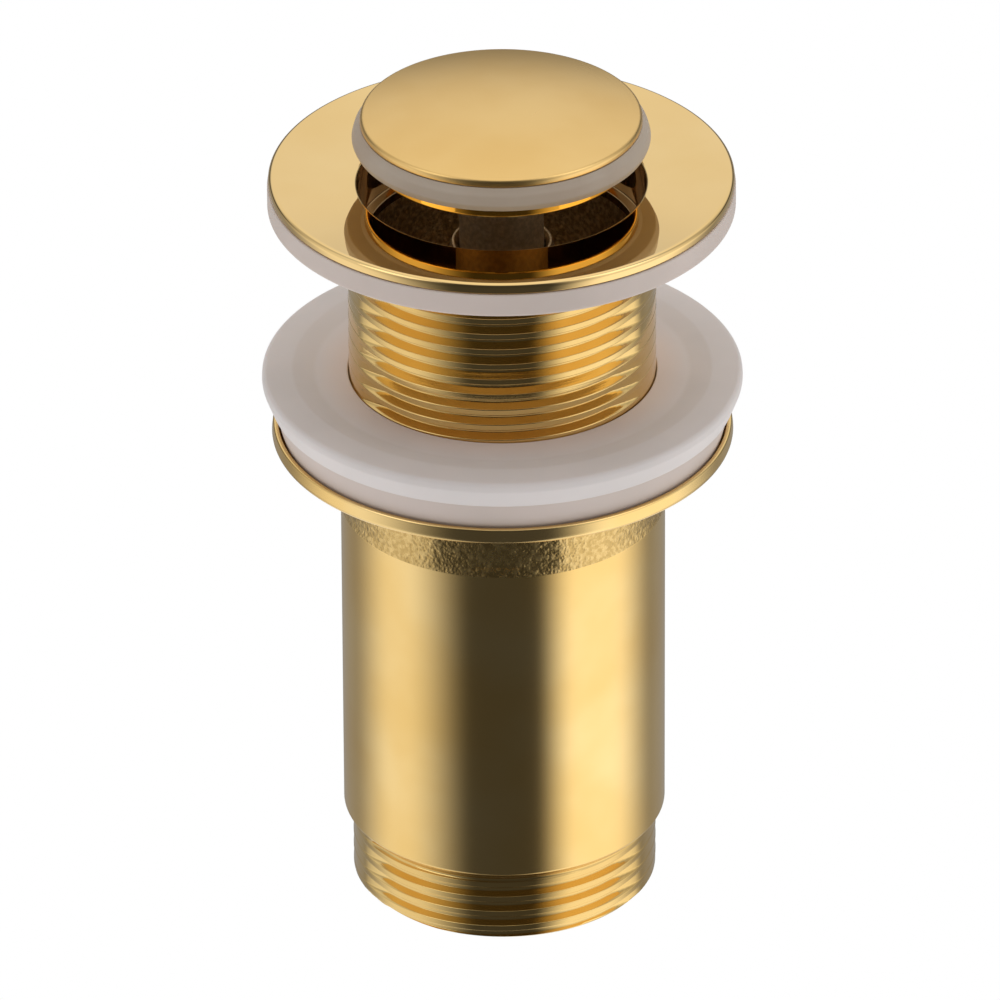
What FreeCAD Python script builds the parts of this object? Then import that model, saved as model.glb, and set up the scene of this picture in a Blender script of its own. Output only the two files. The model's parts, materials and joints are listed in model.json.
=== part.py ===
"""Pop-up basin waste with a click-clack plug, as a parametric document.

Lengths are millimetres and angles degrees. The axis of the waste is Z, and the
lower body stands on its outlet end at Z = 0, so every other piece is stacked
on it: backing washer, seal washer, the open clamping gap, upper washer, upper
body, and the plug that the cartridge in the hub carries. Both tapping threads
are plain cylinders at their crest size.
"""
import FreeCAD, Part

import math
import os

import Sketcher

# Driving dimensions: alias, value, what it is
SIZES = [
    ("thread_radius", 20.8, "crest of the G 1 1/4 threads"),
    ("thread_clearance", 0.05, "female thread over male thread"),
    ("lead_in", 0.7, "chamfer at the start of a thread"),
    ("outlet_length", 9.3, "outlet thread for the trap nut"),
    ("shoulder_rise", 2.5, "shoulder between outlet thread and sleeve"),
    ("shoulder_round", 1.6, "rounding on top of that shoulder"),
    ("sleeve_length", 46.3, "straight part of the sleeve"),
    ("relief_floor", 2.7, "from the shoulder up to the clear bore"),
    ("neck_length", 8.4, "cast neck"),
    ("flat_crown", 33.0, "crown radius of the spanner flats"),
    ("flat_reach", 11.0, "half width of the cutter for a flat"),
    ("flat_turn", -2.6, "angle of the flats in degrees"),
    ("neck_thread", 8.6, "length of the female thread"),
    ("clamp_web", 2.5, "clamp flange thickness at the neck"),
    ("clamp_rim", 1.0, "clamp flange thickness at the rim"),
    ("clamp_land", 0.5, "flat width of that rim"),
    ("dish_depth", 0.75, "dish in the clamp flange"),
    ("backing_taper", 4.2, "height of its tapered part"),
    ("backing_land", 0.9, "height of its straight part"),
    ("waist_height", 0.6, "height of that waist"),
    ("lip_rise", 0.8, "slope under the lip"),
    ("lip_height", 2.3, "edge of the lip"),
    ("lip_round", 0.7, "rounding of the lip"),
    ("trough_depth", 1.8, "trough below the raised rim"),
    ("collar_rise", 0.2, "collar above the raised rim"),
    ("clamp_gap", 25.25, "open gap that takes the basin"),
    ("top_washer_height", 3.55, "upper washer thickness"),
    ("washer_round", 0.4, "rounding of the washers"),
    ("flange_radius", 31.4, "basin flange"),
    ("flange_rim", 1.3, "basin flange thickness at the rim"),
    ("flange_dish", 1.2, "fall of its face to the throat"),
    ("flange_fall", 1.0, "fall of its underside to the thread"),
    ("flange_land", 1.5, "flat border of its underside"),
    ("cone_gap", 0.3, "upper washer clear of that fall, at the border"),
    ("cone_play", 0.05, "upper washer clear of that fall, at the thread"),
    ("flange_round", 0.6, "rounding of its rim"),
    ("throat_round", 0.5, "rounding of the throat's edge"),
    ("ledge_depth", 8.9, "rim to the ledge in the throat"),
    ("tail_length", 58.7, "threaded tail below the flange"),
    ("arm_depth", 12.0, "rim to the top of the spider arms"),
    ("arm_height", 12.0, "spider arm, top to bottom"),
    ("arm_width", 3.0, "spider arm, across"),
    ("hub_depth", 8.5, "rim to the top of the hub"),
    ("hub_taper", 1.8, "height of the hub's nose"),
    ("hub_well", 21.0, "depth of the hub's bore"),
    ("hub_floor", 3.0, "floor of the hub"),
    ("plunger_length", 23.2, "plunger, top to bottom"),
    ("plunger_crown", 5.0, "solid top of the plunger"),
    ("sliding_fit", 0.05, "radial clearance of sliding pieces"),
    ("ring_depth", 14.2, "top of the plunger to the ring's centre"),
    ("ring_section", 0.45, "section radius of the plunger ring"),
    ("ring_play", 0.1, "side play of the ring in its groove"),
    ("pin_radius", 0.8, "index pin"),
    ("pin_drop", 21.4, "top of the plunger to the index pin"),
    ("pin_tip", 3.25, "axis to the tip of the index pin"),
    ("plug_lift", 2.6, "rim to the underside of the open plug"),
    ("plug_travel", 5.65, "full stroke of the plug"),
    ("disc_height", 1.1, "seal clamp disc thickness"),
    ("disc_edge", 0.25, "chamfer under the clamp disc"),
    ("boss_radius", 5.4, "bosses inside the seal"),
    ("boss_rise", 1.1, "boss on the clamp disc"),
    ("boss_gap", 0.2, "seal over the bosses"),
    ("seal_bevel", 0.4, "bevel round its foot"),
    ("seal_edge", 1.1, "foot to the lower edge of the lip"),
    ("seal_swell", 1.9, "foot to the widest ring"),
    ("seal_shoulder", 3.3, "foot to the shoulder over the lip"),
    ("seal_height", 4.1, "plug seal thickness"),
    ("seal_lip", 0.5, "how far the lip turns in, below and above"),
    ("cap_edge", 1.05, "height of the cap's edge"),
    ("cap_dome", 1.8, "rise of the cap's dome"),
    ("cap_round", 0.6, "rounding of the cap's edge"),
    ("cap_bevel", 0.25, "chamfer under the cap's edge"),
    ("stud_radius", 3.0, "stud that joins cap and plunger"),
    ("stud_grip", 4.2, "stud inside the plunger"),
    ("stud_reach", 6.2, "stud above the plunger"),
    ("stud_play", 0.1, "end clearance over the stud"),
    ("barrel_radius", 4.15, "index barrel"),
    ("barrel_length", 10.9, "index barrel, top to bottom"),
    ("track_depth", 1.1, "depth of the index track"),
    ("track_play", 0.15, "index pin to the track's wall"),
    ("track_steps", 4, "strokes in one turn of the barrel"),
    ("track_swing", 33.0, "turn of the barrel for one full stroke"),
    ("lock_rise", 0.3, "how far the shut plug springs back into its lock"),
    ("core_radius", 2.4, "core pin"),
    ("core_top", 20.5, "hub floor to the top of the core pin"),
    ("core_flange", 4.6, "flange of the core pin"),
    ("core_seat", 1.0, "thickness of that flange"),
    ("core_round", 0.5, "rounding on top of the core pin"),
    ("shank_radius", 2.5, "threaded shank of the core pin"),
    ("shank_hole", 2.6, "hole for the shank in the hub floor"),
    ("shank_end", 0.7, "shank below the nut"),
    ("thrust_height", 0.5, "thrust washer under the barrel"),
    ("clip_height", 0.7, "snap ring over the barrel"),
    ("clip_groove", 1.9, "groove radius for the snap ring"),
    ("clip_gap", 2.4, "opening of the snap ring"),
    ("clip_play", 0.1, "barrel to snap ring"),
    ("seat_height", 0.6, "spring seat"),
    ("wire_radius", 0.4, "spring wire"),
    ("spring_turns", 7, "turns of the spring"),
    ("lock_radius", 4.6, "lock washer, outside"),
    ("lock_height", 0.8, "lock washer"),
    ("nut_flats", 8.0, "core nut across its flats"),
    ("nut_height", 4.0, "core nut"),
    ("sleeve_proud", 1.25, "sleeve outside the thread"),
    ("relief_clearance", 0.4, "clear bore round the tail"),
    ("outlet_wall", 2.6, "wall of the outlet, with its thread"),
    ("neck_step", 0.15, "neck inside the sleeve"),
    ("flat_wall", 0.5, "middle of a spanner flat outside the thread"),
    ("clamp_inset", 0.15, "clamp flange inside the basin flange"),
    ("dish_border", 3.05, "slope round the flat floor of the dish"),
    ("washer_clearance", 0.35, "washers round the thread"),
    ("backing_clearance", 0.2, "foot of the backing washer inside the dish"),
    ("backing_inset", 0.55, "backing washer inside the clamp flange"),
    ("lip_overhang", 1.25, "seal washer's lip outside the clamp flange"),
    ("lip_undercut", 2.7, "waist of the seal washer inside its lip"),
    ("lip_width", 4.2, "raised rim of the seal washer"),
    ("collar_wall", 1.4, "collar of the seal washer outside the thread"),
    ("trough_share", 0.49, "place of the trough, from collar to rim"),
    ("washer_overhang", 0.1, "upper washer outside the basin flange"),
    ("throat_wall", 1.4, "wall of the throat"),
    ("tail_wall", 2.8, "wall of the tail, with its thread"),
    ("disc_clearance", 1.8, "clamp disc inside the throat"),
    ("seal_overhang", 0.7, "seal's lip outside the throat"),
    ("cap_inset", 0.45, "cap inside the throat"),
    ("barrel_clearance", 0.15, "plunger tube round the barrel"),
    ("plunger_wall", 1.4, "wall of the plunger tube"),
    ("seat_clearance", 0.1, "spring seat inside the plunger"),
    ("clip_clearance", 0.4, "snap ring inside the plunger"),
    ("spring_clearance", 0.35, "spring inside the plunger"),
    ("hub_wall", 1.5, "wall of the hub"),
    ("hub_chamfer", 0.7, "taper of the hub's nose"),
]

# Radii that follow from others: alias, formula, what it is
DERIVED = [
    ("sleeve_radius", "thread_radius + sleeve_proud", "turned sleeve"),
    ("relief_radius", "thread_radius + relief_clearance", "clear bore inside the sleeve"),
    ("outlet_bore", "thread_radius - outlet_wall", "bore radius at the outlet"),
    ("neck_radius", "sleeve_radius - neck_step", "cast neck above the sleeve"),
    ("flat_offset", "thread_radius + flat_wall", "from the axis to the middle of a spanner flat"),
    ("clamp_radius", "flange_radius - clamp_inset", "rim of the clamp flange"),
    ("dish_radius", "clamp_radius - dish_border", "flat floor of the dish"),
    ("washer_bore", "thread_radius + washer_clearance", "bore radius of all three washers"),
    ("backing_foot", "dish_radius - backing_clearance", "backing washer, radius at its foot"),
    ("backing_radius", "clamp_radius - backing_inset", "backing washer, largest radius"),
    ("lip_radius", "clamp_radius + lip_overhang", "seal washer, outside of its lip"),
    ("waist_radius", "lip_radius - lip_undercut", "seal washer, under its lip"),
    ("lip_inside", "lip_radius - lip_width", "inner edge of the raised rim"),
    ("collar_radius", "thread_radius + collar_wall", "collar round the thread"),
    ("trough_radius", "collar_radius + (lip_inside - collar_radius) * trough_share", "lowest ring of the dished top"),
    ("top_washer_radius", "flange_radius + washer_overhang", "upper washer"),
    ("throat_radius", "thread_radius - throat_wall", "polished throat"),
    ("tail_bore", "thread_radius - tail_wall", "cast bore below the ledge"),
    ("disc_radius", "throat_radius - disc_clearance", "seal clamp disc"),
    ("seal_foot", "disc_radius", "plug seal, radius at its foot"),
    ("seal_radius", "throat_radius + seal_overhang", "plug seal, outside of its lip"),
    ("cap_radius", "throat_radius - cap_inset", "plug cap"),
    ("plunger_bore", "barrel_radius + barrel_clearance", "inside of the plunger tube"),
    ("plunger_radius", "plunger_bore + plunger_wall", "plunger tube"),
    ("seat_radius", "plunger_bore - seat_clearance", "spring seat, outside"),
    ("clip_radius", "plunger_bore - clip_clearance", "snap ring, outside"),
    ("spring_radius", "plunger_bore - wire_radius - spring_clearance", "spring, middle of the wire"),
    ("hub_radius", "plunger_radius + hub_wall", "hub that holds the cartridge"),
    ("hub_nose", "hub_radius - hub_chamfer", "hub radius at its top"),
]

document = FreeCAD.newDocument("basin_waste")
sheet = document.addObject("Spreadsheet::Sheet", "Sizes")
for row, (alias, value, meaning) in enumerate(SIZES, start=1):
    sheet.set(f"A{row}", meaning)
    sheet.set(f"B{row}", str(value))
    sheet.setAlias(f"B{row}", alias)
for row, (alias, formula, meaning) in enumerate(DERIVED, start=len(SIZES) + 1):
    sheet.set(f"A{row}", meaning)
    sheet.set(f"B{row}", f"={formula}")
    sheet.setAlias(f"B{row}", alias)
document.recompute()

# Levels above the outlet end, as expressions of the sheet's cells
SLEEVE_FOOT = "(Sizes.outlet_length + Sizes.shoulder_rise)"
SLEEVE_TOP = f"({SLEEVE_FOOT} + Sizes.sleeve_length)"
NECK_TOP = f"({SLEEVE_TOP} + Sizes.neck_length)"
DISH_FLOOR = f"({NECK_TOP} + Sizes.clamp_web)"
BACKING_TOP = f"({DISH_FLOOR} + Sizes.backing_taper + Sizes.backing_land)"
LIP_TOP = f"({BACKING_TOP} + Sizes.waist_height + Sizes.lip_rise + Sizes.lip_height)"
WASHER_SEAT = f"({LIP_TOP} + Sizes.clamp_gap)"
FLANGE_SEAT = f"({WASHER_SEAT} + Sizes.top_washer_height)"
RIM = f"({FLANGE_SEAT} + Sizes.flange_rim)"
PLUG_SEAT = f"({RIM} + Sizes.plug_lift)"
HUB_FLOOR = f"({RIM} - Sizes.hub_depth - Sizes.hub_well)"
BARREL_FOOT = f"({HUB_FLOOR} + Sizes.core_seat + Sizes.thrust_height)"
CLIP_SEAT = f"({BARREL_FOOT} + Sizes.barrel_length + Sizes.clip_play)"
SPRING_SEAT = f"({CLIP_SEAT} + Sizes.clip_height)"
SPRING_FOOT = f"({SPRING_SEAT} + Sizes.seat_height)"
SPRING_TOP = f"({PLUG_SEAT} - Sizes.plunger_crown)"


def size(expression):
    """Value of an expression of the sheet's cells."""
    value = sheet.evalExpression(expression)
    return float(getattr(value, "Value", value))


def plane(body, role):
    """Origin plane or axis of a body, found by its role."""
    return next(item for item in body.Origin.OriginFeatures if item.Role == role)


def new_body(label, level="0", turn=None):
    """Empty body whose own origin lies at a level on the axis."""
    body = document.addObject("PartDesign::Body", label)
    body.Label = label
    body.setExpression("Placement.Base.z", level)
    if turn:
        body.setExpression("Placement.Rotation.Angle", turn)
    return body


def new_sketch(body, name, role, offset=None):
    """Sketch on one of the body's origin planes, raised by an expression."""
    sketch = body.newObject("Sketcher::SketchObject", name)
    sketch.AttachmentSupport = (plane(body, role), [""])
    sketch.MapMode = "FlatFace"
    if offset:
        sketch.setExpression("AttachmentOffset.Base.z", offset)
    return sketch


def pin_down(sketch, geometry, point, across, along):
    """Fix a sketch point by two expressions, or on an axis where one is zero."""
    for kind, text, axis in (("DistanceX", across, -2), ("DistanceY", along, -1)):
        value = size(text)
        if text == "0":
            sketch.addConstraint(Sketcher.Constraint("PointOnObject", geometry, point, axis))
        else:
            index = sketch.addConstraint(Sketcher.Constraint(kind, -1, 1, geometry, point, value))
            sketch.setExpression(f"Constraints[{index}]", text)


def outline(sketch, points, domes=()):
    """Closed outline through points given as pairs of expressions.

    A side whose index is in domes is an arc about the revolution axis, from its
    start on the right to its end on the axis.
    """
    spots = [FreeCAD.Vector(size(across), size(along), 0) for across, along in points]
    for index, start in enumerate(spots):
        end = spots[(index + 1) % len(spots)]
        if index in domes:
            rise = end.y - start.y
            radius = (start.x ** 2 + rise ** 2) / (2 * rise)
            centre = FreeCAD.Vector(0, end.y - radius, 0)
            circle = Part.Circle(centre, FreeCAD.Vector(0, 0, 1), radius)
            first = math.atan2(start.y - centre.y, start.x)
            sketch.addGeometry(Part.ArcOfCircle(circle, first, math.pi / 2))
            sketch.addConstraint(Sketcher.Constraint("PointOnObject", index, 3, -2))
        else:
            sketch.addGeometry(Part.LineSegment(start, end))
    for index, (across, along) in enumerate(points):
        following = (index + 1) % len(spots)
        sketch.addConstraint(Sketcher.Constraint("Coincident", index, 2, following, 1))
        pin_down(sketch, index, 1, across, along)


def revolve(body, points, domes=()):
    """Turned solid of a body: its outline goes once round Z."""
    sketch = new_sketch(body, body.Label + "_profile", "XZ_Plane")
    outline(sketch, points, domes)
    turned = body.newObject("PartDesign::Revolution", body.Label + "_turned")
    turned.Profile = sketch
    turned.ReferenceAxis = (sketch, ["V_Axis"])
    turned.Angle = 360
    document.recompute()
    return turned


def ring_edges(feature, rings):
    """Names of the feature's circular edges at the given radii and heights."""
    names = []
    for number, edge in enumerate(feature.Shape.Edges, start=1):
        if edge.Degenerated or not isinstance(edge.Curve, Part.Circle):
            continue
        centre = edge.Curve.Center
        for radius, height in rings:
            if (abs(edge.Curve.Radius - size(radius)) < 1e-4 and abs(centre.z - size(height)) < 1e-4
                    and math.hypot(centre.x, centre.y) < 1e-4):
                names.append(f"Edge{number}")
    return names


def round_rings(body, feature, name, rings, radius):
    """Fillet the circular edges that the rings name."""
    rounding = body.newObject("PartDesign::Fillet", f"{body.Label}_{name}")
    names = ring_edges(feature, rings)
    if len(names) < len(rings):
        raise RuntimeError(f"{body.Label}: {name} finds {len(names)} of {len(rings)} edges")
    rounding.Base = (feature, names)
    rounding.setExpression("Radius", radius)
    document.recompute()
    return rounding


def cut_through(body, sketch, name, length, upwards):
    """Pocket of a sketch, checked to take material away."""
    before = body.Shape.Volume
    pocket = body.newObject("PartDesign::Pocket", f"{body.Label}_{name}")
    pocket.Profile = sketch
    pocket.setExpression("Length", length)
    pocket.Reversed = upwards
    document.recompute()
    if body.Shape.Volume >= before - 1e-3:
        raise RuntimeError(f"{body.Label}: {name} cuts nothing")
    return pocket


def repeat_round(body, feature, name, count):
    """Polar pattern of a feature about Z."""
    before = body.Shape.Volume
    pattern = body.newObject("PartDesign::PolarPattern", f"{body.Label}_{name}")
    pattern.Originals = [feature]
    pattern.Axis = (plane(body, "Z_Axis"), [""])
    pattern.Angle = 360
    pattern.Occurrences = count
    body.Tip = pattern
    document.recompute()
    if body.Shape.Volume >= before - 1e-3:
        raise RuntimeError(f"{body.Label}: {name} repeats nothing")
    return pattern


def ring_body(label, level, bore, radius, height):
    """Flat ring with a square section."""
    body = new_body(label, level)
    revolve(body, [(bore, "0"), (radius, "0"), (radius, height), (bore, height)])
    return body


def rectangle(sketch, low_x, low_y, high_x, high_y):
    """Rectangle whose corners are expressions of the sheet's cells."""
    outline(sketch, [(low_x, low_y), (high_x, low_y), (high_x, high_y), (low_x, high_y)])


def crowned_flat(sketch, sign):
    """Cutter outline for a spanner flat: straight outside, crowned inside."""
    side = -1 if sign == "-" else 1
    crown, half = size("Sizes.flat_crown"), size("Sizes.flat_reach")
    centre = side * (size("Sizes.flat_offset") - crown)
    near = centre + side * math.sqrt(crown ** 2 - half ** 2)
    far = side * size("Sizes.sleeve_radius + 1")
    circle = Part.Circle(FreeCAD.Vector(0, centre, 0), FreeCAD.Vector(0, 0, 1), crown)
    swing = math.asin(half / crown)
    middle = side * math.pi / 2
    sketch.addGeometry(Part.ArcOfCircle(circle, middle - swing, middle + swing))
    first, last = (2, 1) if side > 0 else (1, 2)
    corners = [FreeCAD.Vector(-half, near, 0), FreeCAD.Vector(-half, far, 0),
               FreeCAD.Vector(half, far, 0), FreeCAD.Vector(half, near, 0)]
    for start, end in zip(corners, corners[1:]):
        sketch.addGeometry(Part.LineSegment(start, end))
    for one, one_end, two, two_end in ((0, first, 1, 1), (1, 2, 2, 1), (2, 2, 3, 1), (3, 2, 0, last)):
        sketch.addConstraint(Sketcher.Constraint("Coincident", one, one_end, two, two_end))
    for line, kind in ((1, "Vertical"), (2, "Horizontal"), (3, "Vertical")):
        sketch.addConstraint(Sketcher.Constraint(kind, line))
    pin_down(sketch, 0, 3, "0", f"{sign}(Sizes.flat_offset - Sizes.flat_crown)")
    index = sketch.addConstraint(Sketcher.Constraint("Radius", 0, crown))
    sketch.setExpression(f"Constraints[{index}]", "Sizes.flat_crown")
    pin_down(sketch, 2, 1, "-Sizes.flat_reach", f"{sign}(Sizes.sleeve_radius + 1)")
    index = sketch.addConstraint(Sketcher.Constraint("DistanceX", -1, 1, 2, 2, half))
    sketch.setExpression(f"Constraints[{index}]", "Sizes.flat_reach")


def lower_body():
    """Clamp flange, cast neck, sleeve and outlet thread in one piece."""
    body = new_body("lower_body", turn="Sizes.flat_turn * 1 deg")
    clear_floor = f"({SLEEVE_FOOT} + Sizes.relief_floor)"
    rim_top = f"({DISH_FLOOR} + Sizes.dish_depth)"
    female = "(Sizes.thread_radius + Sizes.thread_clearance)"
    thread_foot = f"({DISH_FLOOR} - Sizes.neck_thread)"
    turned = revolve(body, [
        ("Sizes.outlet_bore", "0"),
        ("Sizes.thread_radius - Sizes.lead_in", "0"),
        ("Sizes.thread_radius", "Sizes.lead_in"),
        ("Sizes.thread_radius", "Sizes.outlet_length"),
        ("Sizes.sleeve_radius", SLEEVE_FOOT),
        ("Sizes.sleeve_radius", SLEEVE_TOP),
        ("Sizes.neck_radius", SLEEVE_TOP),
        ("Sizes.neck_radius", NECK_TOP),
        ("Sizes.clamp_radius", f"{rim_top} - Sizes.clamp_rim"),
        ("Sizes.clamp_radius", rim_top),
        ("Sizes.clamp_radius - Sizes.clamp_land", rim_top),
        ("Sizes.dish_radius", DISH_FLOOR),
        (female, DISH_FLOOR),
        (female, thread_foot),
        ("Sizes.relief_radius", thread_foot),
        ("Sizes.relief_radius", clear_floor),
        ("Sizes.outlet_bore", f"{clear_floor} - (Sizes.relief_radius - Sizes.outlet_bore)"),
    ])
    round_rings(body, turned, "shoulder", [("Sizes.sleeve_radius", SLEEVE_FOOT)], "Sizes.shoulder_round")
    for side, sign in (("front", "-"), ("back", "")):
        sketch = new_sketch(body, f"lower_body_{side}_flat", "XY_Plane", SLEEVE_TOP)
        crowned_flat(sketch, sign)
        cut_through(body, sketch, f"{side}_flat_cut", "Sizes.neck_length", upwards=True)
    return body


def backing_washer():
    """Tapered washer that sits in the dish of the clamp flange."""
    body = new_body("backing_washer", DISH_FLOOR)
    top = "(Sizes.backing_taper + Sizes.backing_land)"
    turned = revolve(body, [
        ("Sizes.washer_bore", "0"),
        ("Sizes.backing_foot", "0"),
        ("Sizes.backing_radius", "Sizes.backing_taper"),
        ("Sizes.backing_radius", top),
        ("Sizes.washer_bore", top),
    ])
    round_rings(body, turned, "edge", [("Sizes.backing_radius", top)], "Sizes.washer_round")
    return body


def seal_washer():
    """Soft washer with an overhanging lip, a raised rim and a dished top."""
    body = new_body("seal_washer", BACKING_TOP)
    under = "(Sizes.waist_height + Sizes.lip_rise)"
    top = f"({under} + Sizes.lip_height)"
    turned = revolve(body, [
        ("Sizes.washer_bore", "0"),
        ("Sizes.waist_radius", "0"),
        ("Sizes.waist_radius", "Sizes.waist_height"),
        ("Sizes.lip_radius", under),
        ("Sizes.lip_radius", top),
        ("Sizes.lip_inside", top),
        ("Sizes.trough_radius", f"{top} - Sizes.trough_depth"),
        ("Sizes.collar_radius", f"{top} + Sizes.collar_rise"),
        ("Sizes.washer_bore", f"{top} + Sizes.collar_rise"),
    ])
    lip = [("Sizes.lip_radius", under), ("Sizes.lip_radius", top)]
    round_rings(body, turned, "lip", lip, "Sizes.lip_round")
    return body


def upper_washer():
    """White washer under the basin flange, hollowed to the fall of its underside."""
    body = new_body("upper_washer", WASHER_SEAT)
    fall = "(Sizes.flange_fall + Sizes.cone_play)"
    turned = revolve(body, [
        ("Sizes.washer_bore", "0"),
        ("Sizes.top_washer_radius", "0"),
        ("Sizes.top_washer_radius", "Sizes.top_washer_height"),
        ("Sizes.flange_radius - Sizes.flange_land + Sizes.cone_gap", "Sizes.top_washer_height"),
        ("Sizes.washer_bore", f"Sizes.top_washer_height - {fall}"),
    ])
    round_rings(body, turned, "edge", [("Sizes.top_washer_radius", "0")], "Sizes.washer_round")
    return body


def window(body, sketch, inner, outer, half_arm):
    """Outline of one waterway, between two arms, the hub and the bore."""
    near, far, half = size(inner), size(outer), size(half_arm)
    origin, normal = FreeCAD.Vector(0, 0, 0), FreeCAD.Vector(0, 0, 1)
    near_x, far_x = math.sqrt(near ** 2 - half ** 2), math.sqrt(far ** 2 - half ** 2)
    low_near, low_far = FreeCAD.Vector(near_x, half, 0), FreeCAD.Vector(far_x, half, 0)
    high_near, high_far = FreeCAD.Vector(half, near_x, 0), FreeCAD.Vector(half, far_x, 0)
    sketch.addGeometry(Part.LineSegment(low_near, low_far))
    start, end = math.asin(half / far), math.acos(half / far)
    sketch.addGeometry(Part.ArcOfCircle(Part.Circle(origin, normal, far), start, end))
    sketch.addGeometry(Part.LineSegment(high_far, high_near))
    start, end = math.asin(half / near), math.acos(half / near)
    sketch.addGeometry(Part.ArcOfCircle(Part.Circle(origin, normal, near), start, end))
    for first, first_end, second, second_end in ((0, 2, 1, 1), (1, 2, 2, 1), (2, 2, 3, 2), (3, 1, 0, 1)):
        sketch.addConstraint(Sketcher.Constraint("Coincident", first, first_end, second, second_end))
    sketch.addConstraint(Sketcher.Constraint("Horizontal", 0))
    sketch.addConstraint(Sketcher.Constraint("Vertical", 2))
    for arc in (1, 3):
        sketch.addConstraint(Sketcher.Constraint("Coincident", arc, 3, -1, 1))
    for kind, geometry, value, text in (("DistanceY", 0, half, half_arm), ("DistanceX", 2, half, half_arm)):
        index = sketch.addConstraint(Sketcher.Constraint(kind, -1, 1, geometry, 1, value))
        sketch.setExpression(f"Constraints[{index}]", text)
    for arc, value, text in ((1, far, outer), (3, near, inner)):
        index = sketch.addConstraint(Sketcher.Constraint("Radius", arc, value))
        sketch.setExpression(f"Constraints[{index}]", text)


def upper_body():
    """Basin flange, polished throat, threaded tail, spider and hub."""
    body = new_body("upper_body", RIM)
    seat = "(-Sizes.flange_rim)"
    tail_end = "(-Sizes.flange_rim - Sizes.tail_length)"
    arm_top = "(-Sizes.arm_depth)"
    arm_foot = "(-Sizes.arm_depth - Sizes.arm_height)"
    hub_top = "(-Sizes.hub_depth)"
    well_floor = "(-Sizes.hub_depth - Sizes.hub_well)"
    hub_foot = f"({well_floor} - Sizes.hub_floor)"
    hub_bore = "(Sizes.plunger_radius + Sizes.sliding_fit)"
    turned = revolve(body, [
        ("Sizes.tail_bore", tail_end),
        ("Sizes.thread_radius - Sizes.lead_in", tail_end),
        ("Sizes.thread_radius", f"{tail_end} + Sizes.lead_in"),
        ("Sizes.thread_radius", f"{seat} - Sizes.flange_fall"),
        ("Sizes.flange_radius - Sizes.flange_land", seat),
        ("Sizes.flange_radius", seat),
        ("Sizes.flange_radius", "0"),
        ("Sizes.throat_radius", "-Sizes.flange_dish"),
        ("Sizes.throat_radius", "-Sizes.ledge_depth"),
        ("Sizes.tail_bore", "-Sizes.ledge_depth"),
        ("Sizes.tail_bore", arm_top),
        ("Sizes.hub_radius", arm_top),
        ("Sizes.hub_radius", f"{hub_top} - Sizes.hub_taper"),
        ("Sizes.hub_nose", hub_top),
        (hub_bore, hub_top),
        (hub_bore, well_floor),
        ("Sizes.shank_hole", well_floor),
        ("Sizes.shank_hole", hub_foot),
        ("Sizes.hub_radius", hub_foot),
        ("Sizes.hub_radius", arm_foot),
        ("Sizes.tail_bore", arm_foot),
    ])
    rim = round_rings(body, turned, "rim", [("Sizes.flange_radius", "0")], "Sizes.flange_round")
    throat = [("Sizes.throat_radius", "-Sizes.flange_dish")]
    round_rings(body, rim, "throat_edge", throat, "Sizes.throat_round")
    sketch = new_sketch(body, "upper_body_window", "XY_Plane", arm_top)
    window(body, sketch, "Sizes.hub_radius", "Sizes.tail_bore", "Sizes.arm_width / 2")
    waterway = cut_through(body, sketch, "waterway", "Sizes.arm_height", upwards=False)
    repeat_round(body, waterway, "waterways", 4)
    return body


def seal_clamp_disc():
    """Thin disc under the plug that holds the seal against the cap."""
    body = new_body("seal_clamp_disc", PLUG_SEAT)
    hole = "(Sizes.stud_radius + Sizes.sliding_fit)"
    revolve(body, [
        (hole, "0"),
        ("Sizes.disc_radius - Sizes.disc_edge", "0"),
        ("Sizes.disc_radius", "Sizes.disc_edge"),
        ("Sizes.disc_radius", "Sizes.disc_height"),
        ("Sizes.boss_radius", "Sizes.disc_height"),
        ("Sizes.boss_radius", "Sizes.disc_height + Sizes.boss_rise"),
        (hole, "Sizes.disc_height + Sizes.boss_rise"),
    ])
    return body


def plug_seal():
    """Silicone ring whose lip closes on the throat's edge."""
    body = new_body("plug_seal", f"({PLUG_SEAT} + Sizes.disc_height)")
    bore = "(Sizes.boss_radius + Sizes.boss_gap)"
    turned = revolve(body, [
        (bore, "0"),
        ("Sizes.seal_foot", "0"),
        ("Sizes.seal_foot + Sizes.seal_bevel", "Sizes.seal_bevel"),
        ("Sizes.seal_radius - Sizes.seal_lip", "Sizes.seal_edge"),
        ("Sizes.seal_radius", "Sizes.seal_swell"),
        ("Sizes.seal_radius - Sizes.seal_lip", "Sizes.seal_shoulder"),
        ("Sizes.cap_radius", "Sizes.seal_height"),
        (bore, "Sizes.seal_height"),
    ])
    widest = [("Sizes.seal_radius", "Sizes.seal_swell")]
    round_rings(body, turned, "lip", widest, "Sizes.seal_lip / 2")
    return body


def plug_cap():
    """Domed cap with a tapped boss below."""
    body = new_body("plug_cap", f"({PLUG_SEAT} + Sizes.disc_height + Sizes.seal_height)")
    boss_foot = "(Sizes.boss_rise - Sizes.seal_height)"
    bore_end = "(Sizes.stud_reach + Sizes.stud_play - Sizes.disc_height - Sizes.seal_height)"
    turned = revolve(body, [
        ("Sizes.stud_radius", boss_foot),
        ("Sizes.boss_radius", boss_foot),
        ("Sizes.boss_radius", "0"),
        ("Sizes.cap_radius - Sizes.cap_bevel", "0"),
        ("Sizes.cap_radius", "Sizes.cap_bevel"),
        ("Sizes.cap_radius", "Sizes.cap_edge"),
        ("0", "Sizes.cap_edge + Sizes.cap_dome"),
        ("0", bore_end),
        ("Sizes.stud_radius", bore_end),
    ], domes=(5,))
    round_rings(body, turned, "edge", [("Sizes.cap_radius", "Sizes.cap_edge")], "Sizes.cap_round")
    return body


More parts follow.
